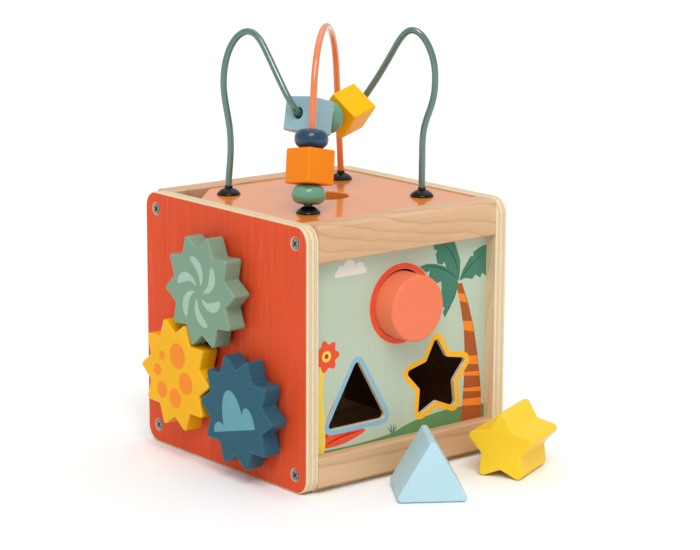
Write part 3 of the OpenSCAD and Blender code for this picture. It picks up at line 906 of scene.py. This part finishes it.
@dataclass
class SorterPicture:
    """The print round the sorter's holes: sky, hill, palm, flower and coloured rims."""

    reach: float = 69.2
    low: float = 18.2
    high: float = 140.7
    round_rim_r: float = 24.6
    tri_rim_w: float = 3.2
    star_rim_w: float = 3.4

    class Ink(Enum):
        """The print's colours, in the order of their material numbers."""

        CLOUD = 0
        HILL = 1
        FROND = 2
        RIB = 3
        TRUNK = 4
        BAND = 5
        BLOOM = 6
        STEM = 7
        STRIPE = 8
        TRIANGLE_RIM = 9
        STAR_RIM = 10
        ROUND_RIM = 11

    def finishes(self) -> list[Finish]:
        """Returns the inks' finishes in order."""
        colors = {
            self.Ink.CLOUD: (230, 224, 211), self.Ink.HILL: (96, 140, 90),
            self.Ink.FROND: (66, 124, 100), self.Ink.RIB: (34, 86, 74),
            self.Ink.TRUNK: (168, 84, 32), self.Ink.BAND: (242, 134, 36),
            self.Ink.BLOOM: (232, 82, 46), self.Ink.STEM: (240, 208, 88),
            self.Ink.STRIPE: (186, 44, 34), self.Ink.TRIANGLE_RIM: (136, 182, 206),
            self.Ink.STAR_RIM: (250, 182, 24), self.Ink.ROUND_RIM: (234, 82, 48)}
        return [ink("ink_" + name.name.lower(), linear(*colors[name])) for name in self.Ink]

    def trunk_edge(self, z: float, side: int) -> float:
        """Returns the trunk's edge at a height: side -1 is the left, 1 the right."""
        heights = [18, 24, 36, 49, 64, 80, 95, 109]
        left = [49.5, 50.0, 51.0, 51.9, 52.2, 51.2, 48.2, 44.4]
        right = [66.6, 66.8, 66.6, 65.2, 62.7, 59.6, 55.0, 49.2]
        return float(np.interp(z, heights, left if side < 0 else right))

    def palm(self) -> Print:
        """Returns the palm's fronds, ribs, trunk and bands."""
        fronds = [
            ([(46.3, 111.5), (47.4, 117.5), (47.4, 124.0), (44.6, 131.0), (42.6, 136.0), (37.9, 138.6),
              (30.6, 139.6), (24.6, 138.6), (25.8, 133.5), (28.6, 132.2), (27.2, 130.2), (28.6, 124.2),
              (33.0, 123.0), (34.4, 124.6), (36.0, 120.4), (41.4, 116.0)],
             ((46.2, 112.0), (31.0, 137.0), -4.0)),
            ([(46.2, 111.6), (41.2, 117.2), (34.6, 121.8), (27.6, 124.2), (20.6, 125.2), (14.2, 124.4),
              (19.6, 119.8), (22.6, 120.6), (21.8, 116.6), (28.6, 112.2), (32.2, 112.8), (32.0, 109.6),
              (38.6, 109.0)],
             ((46.0, 111.4), (17.0, 123.6), -3.4)),
            ([(46.0, 110.9), (43.4, 103.2), (39.6, 95.4), (35.2, 89.6), (33.6, 93.4), (35.0, 96.0),
              (33.2, 97.0), (32.0, 102.4), (32.4, 110.4), (40.4, 112.0)],
             ((45.8, 110.8), (35.4, 92.4), 2.0)),
            ([(46.8, 111.2), (49.4, 117.4), (52.6, 121.2), (55.8, 125.2), (58.2, 125.2), (58.0, 127.6),
              (63.8, 130.2), (69.1, 131.0), (69.1, 111.2), (65.8, 113.6), (64.2, 110.6), (60.4, 113.2),
              (57.6, 110.8), (51.6, 112.2)],
             ((47.0, 111.2), (69.0, 126.0), 1.8))]
        heights = np.linspace(self.low, 109.5, 24)
        trunk = [(self.trunk_edge(z, 1), z) for z in heights]
        trunk += [(self.trunk_edge(z, -1), z) for z in heights[::-1]]
        shapes: Print = [(trunk, self.Ink.TRUNK.value)]
        for z, tall in ((98.5, 5.0), (79.5, 6.0), (58.0, 5.0), (50.6, 2.2), (40.5, 2.0), (31.5, 4.0)):
            top = z + tall
            band = [(self.trunk_edge(z, -1), z), (self.trunk_edge(z, 1), z - 2.2),
                    (self.trunk_edge(top, 1), top - 1.2), (self.trunk_edge(top, -1), top)]
            shapes.append((band, self.Ink.BAND.value))
        for edge, (root, tip, bend) in fronds:
            shapes.append((edge, self.Ink.FROND.value))
            shapes.append((leaf(root, tip, bend, 0.4), self.Ink.RIB.value))
        return shapes

    def flower(self) -> Print:
        """Returns the red flower on its yellow stem, with broad striped leaves."""
        bloom = (-57.5, 80.0)
        shapes = [(leaf((-61.5, 26.0), (-43.0, 62.0), -3.0, 6.5), self.Ink.BLOOM.value),
                  (leaf((-60.0, 25.0), (-27.0, 30.0), 1.5, 4.2), self.Ink.BLOOM.value),
                  (leaf((-61.0, 27.0), (-47.0, 57.0), -2.2, 1.1), self.Ink.STRIPE.value),
                  (leaf((-58.0, 26.0), (-31.0, 30.0), 1.4, 0.8), self.Ink.STRIPE.value)]
        stem = [(-64.5, 22.0), (-59.0, 22.0), (-58.4, 40.0), (-60.0, 58.0), (-58.6, 76.0),
                (-62.0, 76.0), (-64.2, 58.0), (-63.6, 40.0)]
        shapes.append((flowing(stem, 5), self.Ink.STEM.value))
        petals = [polar(8.6 + 1.3 * math.cos(math.radians(7 * a)), a, bloom) for a in range(0, 360, 4)]
        shapes.append((petals, self.Ink.BLOOM.value))
        shapes.append((circle(3.4, bloom, 32), self.Ink.STEM.value))
        shapes.append((circle(1.5, bloom, 24), self.Ink.STRIPE.value))
        return shapes

    def shapes(self, triangle_rim: Outline, star_rim: Outline, round_rim: Outline) -> Print:
        """Returns every printed shape, the lowest layer first.

        Args:
            triangle_rim: the outer edge of the triangle's coloured rim.
            star_rim: the same for the star.
            round_rim: the same for the round hole.

        Returns:
            Outlines with their inks, kept inside the panel's faces.
        """
        puffs = ((3.2, (-46.6, 129.6)), (4.6, (-40.4, 131.2)), (3.4, (-32.4, 130.0)))
        cloud = [(circle(r, at, 40), self.Ink.CLOUD.value) for r, at in puffs]
        cloud.append((eased(rectangle((-51.5, 126.2), (-27.3, 129.4)), [1.4] * 4), self.Ink.CLOUD.value))
        hill = flowing([(-69.1, 22.8), (-52.0, 22.6), (-31.5, 22.6), (-8.0, 24.2), (10.0, 28.6),
                        (32.0, 31.0), (50.0, 31.2), (69.1, 29.4), (69.1, 18.3), (-69.1, 18.3)], 8)
        blades = [leaf((-6.0, 24.0), (-6.0 + dx, 24.5 + dz), 0.4 if dx < 0 else -0.4, 0.45)
                  for dx, dz in ((-3.4, 4.2), (-1.2, 6.2), (1.0, 5.6), (3.2, 4.4))]
        tuft = [(blade, self.Ink.FROND.value) for blade in blades]
        result = cloud + [(hill, self.Ink.HILL.value)] + self.flower() + self.palm() + tuft
        result += [(triangle_rim, self.Ink.TRIANGLE_RIM.value), (star_rim, self.Ink.STAR_RIM.value),
                   (round_rim, self.Ink.ROUND_RIM.value)]
        return [([(max(-self.reach, min(self.reach, x)), max(self.low, min(self.high, y)))
                  for x, y in outline], number) for outline, number in result]


@dataclass
class SorterShapes:
    """The three shapes that the sorter's holes and blocks share, in millimetres."""

    hole_r: float = 21.0
    tri_side: float = 47.0
    star_tip: float = 26.5
    star_valley: float = 14.5
    round_at: Point = (0.0, 103.7)
    tri_at: Point = (-33.8, 34.6)
    star_at: Point = (29.5, 52.8)
    star_turn: float = 1.5

    def triangle(self, gap: float, soft: float) -> Outline:
        """Returns the upright triangle, moved inwards by a gap, standing on its own base."""
        side = self.tri_side - 2 * math.sqrt(3) * gap
        return eased([(-side / 2, 0.0), (side / 2, 0.0), (0.0, side * math.sqrt(3) / 2)], [soft] * 3)

    def star_angles(self) -> Point:
        """Returns the angle from a tip to the next valley and half the angle of a tip."""
        wide = math.radians(36)
        half = math.atan2(self.star_valley * math.sin(wide),
                          self.star_tip - self.star_valley * math.cos(wide))
        return wide, half

    def star(self, gap: float, tip_soft: float, valley_soft: float, turn: float) -> Outline:
        """Returns the star, moved inwards by a gap, about its own centre."""
        wide, half = self.star_angles()
        tip = self.star_tip - gap / math.sin(half)
        valley = self.star_valley - gap / math.sin(wide + half)
        return eased(spiky(5, tip, valley, 90 + turn), [tip_soft, valley_soft] * 5, 10)

    def star_foot(self, gap: float, soft: float) -> float:
        """Returns the height of the star's centre when it stands on two tips."""
        _, half = self.star_angles()
        return (self.star_tip - (gap + soft) / math.sin(half)) * math.sin(math.radians(54)) + soft


@dataclass
class CubeFrame:
    """The fixed cube: two side panels, four rails, the printed front, back and base."""

    half_w: float = 78.5
    half_d: float = 80.0
    height: float = 160.0
    side_t: float = 9.0
    corner: float = 10.0
    panel_y: float = 72.3
    panel_t: float = 3.0
    panel_low: float = 18.0
    panel_high: float = 141.0
    rail_d: float = 16.0
    top_rail: Point = (138.0, 160.0)
    bottom_rail: Point = (3.5, 21.5)
    groove_deep: float = 3.5
    groove_slack: float = 0.1
    # Top of the dark painted-shade area on each side panel's inner face.
    painted_shade_top: float = 149.6
    axle_bore: float = 4.08
    screw_seat: float = 3.42
    screw_y: float = 69.0
    screw_z: Point = (11.0, 149.5)
    shapes: SorterShapes = field(default_factory=SorterShapes)
    picture: SorterPicture = field(default_factory=SorterPicture)
    gear_centres: Sequence[Point] = ()

    @property
    def inner(self) -> float:
        """Half the clear width between the side panels."""
        return self.half_w - self.side_t

    def side_panels(self) -> None:
        """Builds the red gear panel and the plain right panel, with screw holes."""
        square = eased(rectangle((-self.half_d, 0.0), (self.half_d, self.height)), [self.corner] * 4, 12)
        bores = [circle(self.axle_bore, (-y, z), 32) for y, z in self.gear_centres]
        seats = [circle(self.screw_seat, (y, z), 32)
                 for y in (-self.screw_y, self.screw_y) for z in self.screw_z]
        reach = self.panel_y - self.panel_t
        # The inner face between the rails is printed with the dark veneer as painted shade.
        painted_shade_lining = [(rectangle((-reach, self.bottom_rail[0]), (reach, self.painted_shade_top)), 0)]
        sides = (
            ("gear_side_panel", "side_panel_left", -1, bores + seats, "red_print", RED_PRINT, LEFT_EDGE),
            ("plain_side_panel", "side_panel_right", 1, seats, "birch_ply", VENEER, RIGHT_EDGE))
        for name, node, side, holes, slot, face, edge in sides:
            board = Board(square, self.side_t, holes, 0.7, painted_shade_lining, lined=True)
            piece = board.shape().build(name, placed((side * self.inner, 0, 0), (0, side, 0), (0, 0, 1)))
            finish_piece(piece, "cube", [face, edge, VENEER, PAINTED_SHADE_VENEER], [node])

    def rails(self) -> None:
        """Builds the four rails with their panel grooves."""
        a, b, deep = self.half_d, self.half_d - self.rail_d, self.groove_deep
        near, far = self.panel_y + self.groove_slack, self.panel_y - self.panel_t - self.groove_slack
        low, high = self.top_rail
        top = [(b, high), (b, low), (far, low), (far, low + deep), (near, low + deep), (near, low),
               (a, low), (a, high)]
        low, high = self.bottom_rail
        bottom = [(b, low), (a, low), (a, high), (near, high), (near, high - deep), (far, high - deep),
                  (far, high), (b, high)]
        kinds = (("top", top, [1.0, 0.4, 0, 0, 0, 0, 1.0, 3.0], RAIL_WOOD),
                 ("bottom", bottom, [0.4, 1.0, 1.0, 0, 0, 0, 0, 1.0], LOW_RAIL_WOOD))
        for side, end in ((-1, "front"), (1, "back")):
            for kind, profile, radii, wood in kinds:
                outline = eased([(side * y, z) for y, z in profile], radii, 6)
                area = sum(p[0] * q[1] - q[0] * p[1] for p, q in zip(outline, outline[1:] + outline[:1]))
                rail = Board(outline if area > 0 else outline[::-1], 2 * self.inner, ease=0.05, arc_steps=1)
                name = f"{end}_{kind}_rail"
                place = placed((-self.inner, 0, 0), (0, 1, 0), (0, 0, 1))
                piece = rail.shape().build(name + "_wood", place)
                finish_piece(piece, "cube", [wood] * 3, [name])

    def panels(self) -> None:
        """Builds the printed front panel with its three holes, and the plain back panel."""
        s, art = self.shapes, self.picture
        holes = [circle(s.hole_r, s.round_at, 120), moved(s.triangle(0, 2.5), s.tri_at),
                 moved(s.star(0, 2.2, 2.2, s.star_turn), s.star_at)]
        rims = [moved(s.triangle(-art.tri_rim_w, 5.4), (s.tri_at[0], s.tri_at[1] - art.tri_rim_w)),
                moved(s.star(-art.star_rim_w, 5.4, 1.4, s.star_turn), s.star_at),
                circle(art.round_rim_r, s.round_at, 120)]
        sheet = rectangle((-self.inner, self.panel_low), (self.inner, self.panel_high))
        inner_y = self.panel_y - self.panel_t
        front = Board(sheet, self.panel_t, holes, 0.25, art.shapes(*rims), 2)
        piece = front.shape().build("printed_sorter_panel", placed((0, -inner_y, 0), (1, 0, 0), (0, 0, 1)))
        sky = ink("ink_sky", linear(184, 198, 176))
        # The front panel's inner face gets the dark veneer as painted shade.
        finish_piece(piece, "cube", [sky, THIN_EDGE, PAINTED_SHADE_VENEER] + art.finishes(),
                     ["front_panel"])
        back = Board(sheet, self.panel_t, [], 0.25)
        piece = back.shape().build("plain_back_panel", placed((0, inner_y, 0), (-1, 0, 0), (0, 0, 1)))
        # The back panel's inner face gets the dark veneer as painted shade.
        finish_piece(piece, "cube", [VENEER, THIN_EDGE, PAINTED_SHADE_VENEER], ["back_panel"])

    def build(self) -> None:
        """Builds the whole cube and dresses the nodes that are kept."""
        self.side_panels()
        self.rails()
        self.panels()
        dress_nodes(BASE_VENEER, "base_panel")
        # The ledges inside, under the lid, get the dark veneer as painted shade.
        dress_nodes(PAINTED_SHADE_VENEER, "ledge_left", "ledge_right")
        dress_nodes(STEEL, "panel_screws_left", "panel_screws_right")


class Motif(Enum):
    """The motif printed on a gear's face."""

    SWIRL = "swirl"
    SPOTS = "spots"
    HILLS = "hills"


@dataclass
class ToothedGear:
    """One wooden gear with a printed face, its axle, spacer, washer and screw."""

    body: str
    centre: Point
    phase: float
    motif: Motif
    lacquer: Finish
    print_ink: Finish
    slot: str
    teeth: int = 10
    tip: float = 36.0
    valley: float = 26.5
    thickness: float = 12.5
    back: float = -81.0

    def outline(self) -> Outline:
        """Returns the toothed outline as seen from outside."""
        star = spiky(self.teeth, self.tip, self.valley, 180 - self.phase)
        return eased(star, [2.0, 1.5] * self.teeth, 8)

    @staticmethod
    def spots() -> list[Outline]:
        """Returns six round spots."""
        spots = ((3.8, 12.6, 8.0), (12.1, -3.1, 7.0), (1.0, -14.5, 6.2), (-12.7, -11.6, 5.2),
                 (-17.3, 0.2, 3.9), (-12.4, 10.0, 3.0))
        return [circle(r, (x, y), 64) for x, y, r in spots]

    @staticmethod
    def hills() -> list[Outline]:
        """Returns three rounded humps on one sloping line."""
        foot, slope = -10.6, 14.4
        humps = []
        for middle, half, tall in ((-18.2, 5.4, 6.0), (-3.2, 10.2, 24.4), (11.4, 6.0, 13.0)):
            arch = [(middle + half * math.cos(a), foot + tall * math.sin(a) ** 0.8)
                    for a in np.linspace(0, math.pi, 40)]
            humps.append(moved(arch, (0.0, 0.0), slope))
        return humps

    @staticmethod
    def petal(start: float) -> Outline:
        """Returns one curling petal that starts at an angle and is widest near its tip."""
        steps, widest, half_width = 24, 0.66, 3.0
        middle = [polar(4.3 + 17.2 * i / steps, start + 46 * (i / steps) ** 1.5) for i in range(steps + 1)]
        left: Outline = []
        right: Outline = []
        for i, spot in enumerate(middle):
            t = i / steps
            a, b = middle[max(i - 1, 0)], middle[min(i + 1, steps)]
            if t < widest:
                swell = (t / widest) ** 0.7
            else:
                swell = math.sqrt(max(0.0, 1 - ((t - widest) / (1 - widest)) ** 2))
            half = half_width * swell / math.hypot(b[0] - a[0], b[1] - a[1])
            left.append((spot[0] - (b[1] - a[1]) * half, spot[1] + (b[0] - a[0]) * half))
            right.append((spot[0] + (b[1] - a[1]) * half, spot[1] - (b[0] - a[0]) * half))
        return left[:-1] + right[:0:-1]

    def print_shapes(self) -> Print:
        """Returns the printed shapes about the gear's centre."""
        if self.motif is Motif.SPOTS:
            shapes = self.spots()
        elif self.motif is Motif.HILLS:
            shapes = self.hills()
        else:
            shapes = [self.petal(68 + 60 * k) for k in range(6)]
        return [(shape, 0) for shape in shapes]

    def build(self) -> None:
        """Builds the gear's face and teeth, and dresses its small parts."""
        y, z = self.centre
        gear = Board(self.outline(), self.thickness, [], 1.3, self.print_shapes(), 5)
        piece = gear.shape().build(self.body + "_wood", placed((self.back, y, z), (0, -1, 0), (0, 0, 1)))
        rim = replace(self.lacquer, name=self.lacquer.name + "_rim", coat=0.25, shine=0.2)
        finishes = [self.lacquer, rim, self.lacquer, self.print_ink]
        finish_piece(piece, self.body, finishes, [self.body])
        color = self.body.split("_")[0]
        dress_nodes(LOW_RAIL_WOOD, color + "_axle", color + "_spacer")
        dress_nodes(STEEL, color + "_washer", color + "_screw")


@dataclass
class BeadMaze:
    """The lid with its two bent wires, foot caps and six beads."""

    lid_z: float = 150.0
    lid_top: float = 159.0
    lid_half: Point = (69.0, 63.5)
    lid_cut: float = 27.0
    finger_r: float = 14.5
    foot: Point = (44.8, 39.2)
    wire_r: float = 2.1
    arch_r: float = 42.0
    arch_z: float = 221.0
    bend_r: float = 12.0
    kink_z: float = 164.5
    dip_low: Sequence[float] = (1.7, -2.7, 208.0)
    dip_r: float = 75.0
    dip_dir: float = 10.5
    dip_mid: float = -1.4
    dip_turn: float = 14.2
    cube_a: float = 21.0
    disc_r: float = 10.2
    disc_t: float = 11.4
    stack_low: float = 5.5
    bead_gap: float = 0.35
    cap_r: float = 7.3
    cap_h: float = 4.5
    cap_edge: float = 0.8
    sleeve_wall: float = 0.35
    sleeve_h: float = 1.2
    bore: float = 3.5

    @property
    def half(self) -> float:
        """Half the diagonal between opposite feet."""
        return math.hypot(*self.foot)

    @property
    def diagonal(self) -> float:
        """The plain arch's direction in degrees from +X."""
        return math.degrees(math.atan2(self.foot[1], self.foot[0]))

    @property
    def lean(self) -> float:
        """How far the plain arch's legs lean, in degrees."""
        rise = self.arch_z - self.kink_z
        reach = math.hypot(self.half, rise)
        return math.degrees(math.atan2(self.half, rise) - math.asin(self.arch_r / reach))

    def feet(self) -> Outline:
        """Returns where the wires' four feet stand on the lid."""
        return [(sx * self.foot[0], sy * self.foot[1]) for sx in (-1, 1) for sy in (-1, 1)]

    def lid(self) -> None:
        """Builds the lacquered lid with its cut corner, finger hole and wire holes."""
        (x, y), cut = self.lid_half, self.lid_cut
        outline = eased([(-x, -y), (x, -y), (x, y), (-x + cut, y), (-x, y - cut)], [4, 4, 4, 8, 8], 10)
        holes = [circle(self.finger_r)] + [circle(self.wire_r + 0.1, foot, 24) for foot in self.feet()]
        board = Board(outline, self.lid_top - self.lid_z, holes, 0.9)
        piece = board.shape().build("lid_board", placed((0, 0, self.lid_z), (1, 0, 0), (0, 1, 0)))
        finish_piece(piece, "lid", [LID_LACQUER] * 3, ["lid"])

    def dip_point(self, angle: float) -> Vector:
        """Returns a point on the dip's arc, by its angle from the lowest point."""
        a, d = math.radians(angle), math.radians(self.dip_dir)
        return Vector(self.dip_low) + self.dip_r * Vector(
            (math.sin(a) * math.cos(d), math.sin(a) * math.sin(d), 1 - math.cos(a)))

    def loop_route(self) -> list[Vector]:
        """Returns the looping wire's route, smoothed from its bending points."""
        up = [(-59.5, 0, 142), (-59.5, 0, 150.5), (-59.5, 0, 159), (-59.5, 0, 164.5), (-59.5, 0, 170),
              (-58.5, 0, 179), (-57.9, 0, 190), (-58.5, 0, 200), (-59.8, 0, 208), (-61.2, 0, 216),
              (-62.5, 0, 226), (-62, 0, 236), (-60, 0, 245.5), (-56.5, 0, 253.5), (-52, -1, 258.5),
              (-47.5, -2.5, 260.5), (-43, -5, 259.5), (-39, -8, 255.5), (-35, -12.5, 248.5),
              (-30.5, -18, 240), (-26, -23, 231.5), (-22, -26.5, 224), (-18.5, -27.5, 218.5)]
        down = [(24.5, 23.5, 218.5), (30, 21.5, 227), (35.5, 17.5, 236.5), (41, 12, 247),
                (44.5, 8, 254), (48.5, 5, 259.5), (52.5, 2.5, 261.5), (57, 1, 260), (61.5, 0, 254.5),
                (65, 0, 246.5), (66.8, 0, 238), (67, 0, 229), (66.3, 0, 220), (63.7, 0, 212),
                (61, 0, 204.5), (59.5, 0, 196), (59.5, 0, 185), (59.5, 0, 172), (59.5, 0, 159),
                (59.5, 0, 150.5), (59.5, 0, 142)]
        along = Vector((self.foot[0], -self.foot[1], 0)).normalized()
        across = Vector((self.foot[1], self.foot[0], 0)).normalized()
        route = [along * s + across * d + Vector((0, 0, z)) for s, d, z in up]
        route += [self.dip_point(-26 + 5.5 * k) for k in range(10)]
        route += [along * s + across * d + Vector((0, 0, z)) for s, d, z in down]
        smooth = []
        for i in range(len(route) - 3):
            for j in range(5):
                t = j / 5
                weights = ((1 - t) ** 3, 3 * t**3 - 6 * t**2 + 4, -3 * t**3 + 3 * t**2 + 3 * t + 1, t**3)
                smooth.append(sum((p * w for p, w in zip(route[i:i + 4], weights)), Vector()) / 6)
        return smooth

    def arch_route(self) -> list[Vector]:
        """Returns the plain arch's route from foot to foot."""
        lean = math.radians(self.lean)
        cut = self.bend_r * math.tan(lean / 2)
        bend = (-self.half + self.bend_r, self.kink_z - cut)
        leg = [(-self.half, self.lid_z + 0.5)]
        leg += [polar(self.bend_r, 180 - self.lean * i / 6, bend) for i in range(7)]
        arch = [polar(self.arch_r, 180 - self.lean - (180 - 2 * self.lean) * i / 64, (0, self.arch_z))
                for i in range(65)]
        flat = leg + arch + [(-x, z) for x, z in leg[::-1]]
        c, s = math.cos(math.radians(self.diagonal)), math.sin(math.radians(self.diagonal))
        return [Vector((x * c, x * s, z)) for x, z in flat]

    def wires(self) -> None:
        """Builds both bent wires."""
        piece = BentRod(self.loop_route(), self.wire_r).shape().build("looping_wire", METRES)
        finish_piece(piece, "lid", [GREEN_ENAMEL], ["green_wire"])
        piece = BentRod(self.arch_route(), self.wire_r).shape().build("arched_wire", METRES)
        finish_piece(piece, "lid", [ORANGE_ENAMEL], ["orange_wire"])

    def caps(self) -> None:
        """Builds the four domed caps over the wires' feet as one piece."""
        bore, r, soft, steps = self.wire_r + 0.05, self.cap_r, 0.3, 12
        rise = self.cap_h - self.cap_edge
        sphere = (r**2 + rise**2) / (2 * rise)
        low, high = math.acos(r / sphere), math.acos((bore + self.sleeve_wall) / sphere)
        profile = [(bore, 0.0), (r - soft, 0.0), (r, soft)]
        for i in range(steps + 1):
            a = low + (high - low) * i / steps
            profile.append((sphere * math.cos(a), self.cap_h - sphere + sphere * math.sin(a)))
        top, lip = self.cap_h + self.sleeve_h, bore + self.sleeve_wall
        profile += [(lip, top - 0.2), (lip - 0.15, top), (bore, top)]
        cap = Turning(profile, 48).shape()
        shape = Shape()
        for foot_x, foot_y in self.feet():
            first = len(shape.points)
            shape.add_points([(x + foot_x, y + foot_y, z + self.lid_top) for x, y, z in cap.points])
            for face in cap.faces:
                shape.add_face([k + first for k in face], 0)
        piece = shape.build("wire_foot_caps", METRES, 50)
        finish_piece(piece, "lid", [BLACK_PLASTIC], ["wire_caps"])

    def bead(self, node: str, finish: Finish, cube: bool, place: Matrix) -> None:
        """Builds one bead round its own bore and stands it for its node."""
        if cube:
            a = self.cube_a / 2
            square = eased(rectangle((-a, -a), (a, a)), [1.3] * 4, 6)
            shape = Board(square, self.cube_a, [circle(self.bore, count=48)], 0.9).shape()
            shape.points = [(x, y, z - a) for x, y, z in shape.points]
            finishes = [finish] * 3
        else:
            h = self.disc_t / 2
            profile = eased([(self.bore, -h), (self.disc_r, -h), (self.disc_r, h), (self.bore, h)],
                            [0.7, 5.4, 5.4, 0.7], 12)
            shape = Turning(profile, 80).shape()
            finishes = [finish]
        piece = shape.build(node + "_bead", place)
        finish_piece(piece, node, finishes, [node])

    def beads(self) -> None:
        """Builds the stack of three beads on the leg and the three in the dip."""
        foot = shifted((-self.foot[0], -self.foot[1], self.kink_z))
        leg = foot @ turned(self.diagonal, "Z") @ turned(self.lean, "Y")
        step = (self.disc_t + self.cube_a) / 2 + self.bead_gap
        stack = (("stack_green_disc", "bead_green", BEAD_GREEN, False, 0.0),
                 ("stack_orange_cube", "bead_orange", BEAD_ORANGE, True, 3 - self.diagonal),
                 ("stack_blue_disc", "bead_navy", BEAD_NAVY, False, 0.0))
        for i, (node, slot, finish, cube, spin) in enumerate(stack):
            rise = shifted((0, 0, self.stack_low + i * step))
            self.bead(node, finish, cube, leg @ rise @ turned(spin, "Z") @ METRES)
        dip = (("dip_blue_cube", "bead_pale_blue", BEAD_BLUE, True, -1, -5.0),
               ("dip_green_disc", "bead_green", BEAD_GREEN, False, 0, 0.0),
               ("dip_yellow_cube", "bead_yellow", BEAD_YELLOW, True, 1, 42.0))
        for node, slot, finish, cube, k, spin in dip:
            angle = self.dip_mid + k * self.dip_turn
            lie = shifted(self.dip_point(angle)) @ turned(self.dip_dir, "Z") @ turned(90 - angle, "Y")
            self.bead(node, finish, cube, lie @ turned(spin, "Z") @ METRES)

    def build(self) -> None:
        """Builds the lid and all that it carries."""
        self.lid()
        self.wires()
        self.caps()
        self.beads()


@dataclass
class SortingBlocks:
    """The round block in its hole and the two blocks on the floor."""

    length: float = 40.0
    gap: float = 0.8
    shapes: SorterShapes = field(default_factory=SorterShapes)

    def standing(self, outline: Outline, at: Sequence[float], turn: float, name: str,
                 finish: Finish) -> None:
        """Builds a block whose outline stands upright and faces the front.

        Args:
            outline: its end face, across and up.
            at: the middle of its front face's foot, in millimetres.
            turn: how far it is turned about Z, in degrees.
            name: its body and node.
            finish: its finish.
        """
        c, s = math.cos(math.radians(turn)), math.sin(math.radians(turn))
        back = Vector(at) + Vector((-s, c, 0)) * self.length
        block = Board(outline, self.length, [], 1.1, [], 5)
        piece = block.shape().build(name + "_wood", placed(back, (c, s, 0), (0, 0, 1)))
        finish_piece(piece, name, [finish] * 3, [name])

    def build(self) -> None:
        """Builds the three blocks."""
        s = self.shapes
        r = s.hole_r - self.gap
        profile = eased([(0.0, 0.0), (r, 0.0), (r, self.length), (0.0, self.length)], [0, 1.2, 1.6, 0], 8)
        at = (s.round_at[0], -48.0, s.round_at[1] - self.gap + 0.35)
        piece = Turning(profile, 120).shape().build("round_block_wood", placed(at, (1, 0, 0), (0, 0, 1)))
        finish_piece(piece, "round_block", [CORAL], ["round_block"])
        self.standing(s.triangle(self.gap, 2.5), (-27.6, -133.4, 0.0), -34.0, "triangle_block",
                      PALE_BLUE)
        soft = 2.8
        self.standing(s.star(self.gap + 0.2, soft, soft, 0.0),
                      (35.9, -122.6, s.star_foot(self.gap + 0.2, soft)), -66.5, "star_block",
                      STAR_YELLOW)


@dataclass
class Studio:
    """The floor, the lights and the camera."""

    camera_at: Sequence[float] = (-0.89118, -1.09416, 0.41712)
    camera_right: Sequence[float] = (0.7690209, -0.6392048, 0.0049041)
    camera_up: Sequence[float] = (0.1327689, 0.1672282, 0.9769376)
    lens: float = 119.61
    surround: float = 0.66

    def floor(self) -> None:
        """Lays a large pale floor with faint mottling."""
        shape = Shape()
        corners = shape.add_points([(-9, -9, 0), (9, -9, 0), (9, 9, 0), (-9, 9, 0)])
        shape.add_face(corners, 0)
        floor = shape.build("studio_floor", Matrix.Translation((0, 0, -0.0004)))
        paper = Coat("floor_paper", 0.9, marks=0.02, color=(0.93, 0.93, 0.93, 1.0), drift=0.01, fibre=0.0)
        floor.data.materials.append(paper.material())

    def light(self, name: str, at: Sequence[float], spread: float, power: float) -> None:
        """Adds one far soft light that shines from a point towards the cube.

        Args:
            name: the light's name.
            at: where it shines from, seen from the cube.
            spread: its apparent width in degrees.
            power: its strength on a surface that faces it.
        """
        lamp = bpy.data.lights.new(name, "SUN")
        lamp.angle = math.radians(spread)
        lamp.energy = power
        item = bpy.data.objects.new(name, lamp)
        item.location = at
        item.rotation_euler = (-Vector(at)).to_track_quat("-Z", "Y").to_euler()
        bpy.context.scene.collection.objects.link(item)

    def lights(self) -> None:
        """Sets an even white surround and the soft lights."""
        world = bpy.data.worlds.new("studio")
        bpy.context.scene.world = world
        world.use_nodes = True
        back = world.node_tree.nodes["Background"]
        back.inputs[0].default_value = (1.0, 1.0, 1.0, 1.0)
        back.inputs[1].default_value = self.surround
        self.light("key_light", (-1.1, -1.3, 1.9), 32.0, 1.3)
        self.light("window_light", (-0.5, -1.2, 2.1), 12.0, 0.35)
        self.light("top_light", (0.5, 0.3, 1.6), 60.0, 0.4)

    def camera(self) -> None:
        """Places the camera."""
        data = bpy.data.cameras.new("camera")
        data.lens = self.lens
        data.sensor_width = 36.0
        data.clip_end = 50.0
        camera = bpy.data.objects.new("camera", data)
        right, up = Vector(self.camera_right), Vector(self.camera_up)
        turn = Matrix((right, up, right.cross(up))).transposed().to_4x4()
        camera.matrix_world = Matrix.Translation(Vector(self.camera_at)) @ turn
        bpy.context.scene.collection.objects.link(camera)
        bpy.context.scene.camera = camera

    def build(self) -> None:
        """Sets up the whole studio."""
        self.camera()
        self.floor()
        self.lights()
        bpy.context.scene.view_settings.view_transform = "Standard"


def main() -> None:
    """Builds the studio and the cube."""
    logging.basicConfig(level=logging.INFO, format="%(name)s: %(message)s")
    Studio().build()
    yellow = (31.0, 53.5)
    pitch, to_green, to_blue, phase, mesh = 62.5, 115.0, 189.7, 0.8, 198
    green = polar(pitch, to_green, yellow)
    blue = polar(pitch, to_blue, yellow)
    CubeFrame(gear_centres=(green, yellow, blue)).build()
    ToothedGear("green_gear", green, 2 * to_green + mesh - phase, Motif.SWIRL, GREEN_LACQUER,
                PETAL_INK, "green_lacquer").build()
    ToothedGear("yellow_gear", yellow, phase, Motif.SPOTS, YELLOW_LACQUER,
                SPOT_INK, "yellow_lacquer").build()
    ToothedGear("blue_gear", blue, 2 * to_blue + mesh - phase, Motif.HILLS, NAVY_LACQUER,
                HILLS_INK, "navy_lacquer").build()
    BeadMaze().build()
    SortingBlocks().build()


if __name__ == "__main__":
    main()
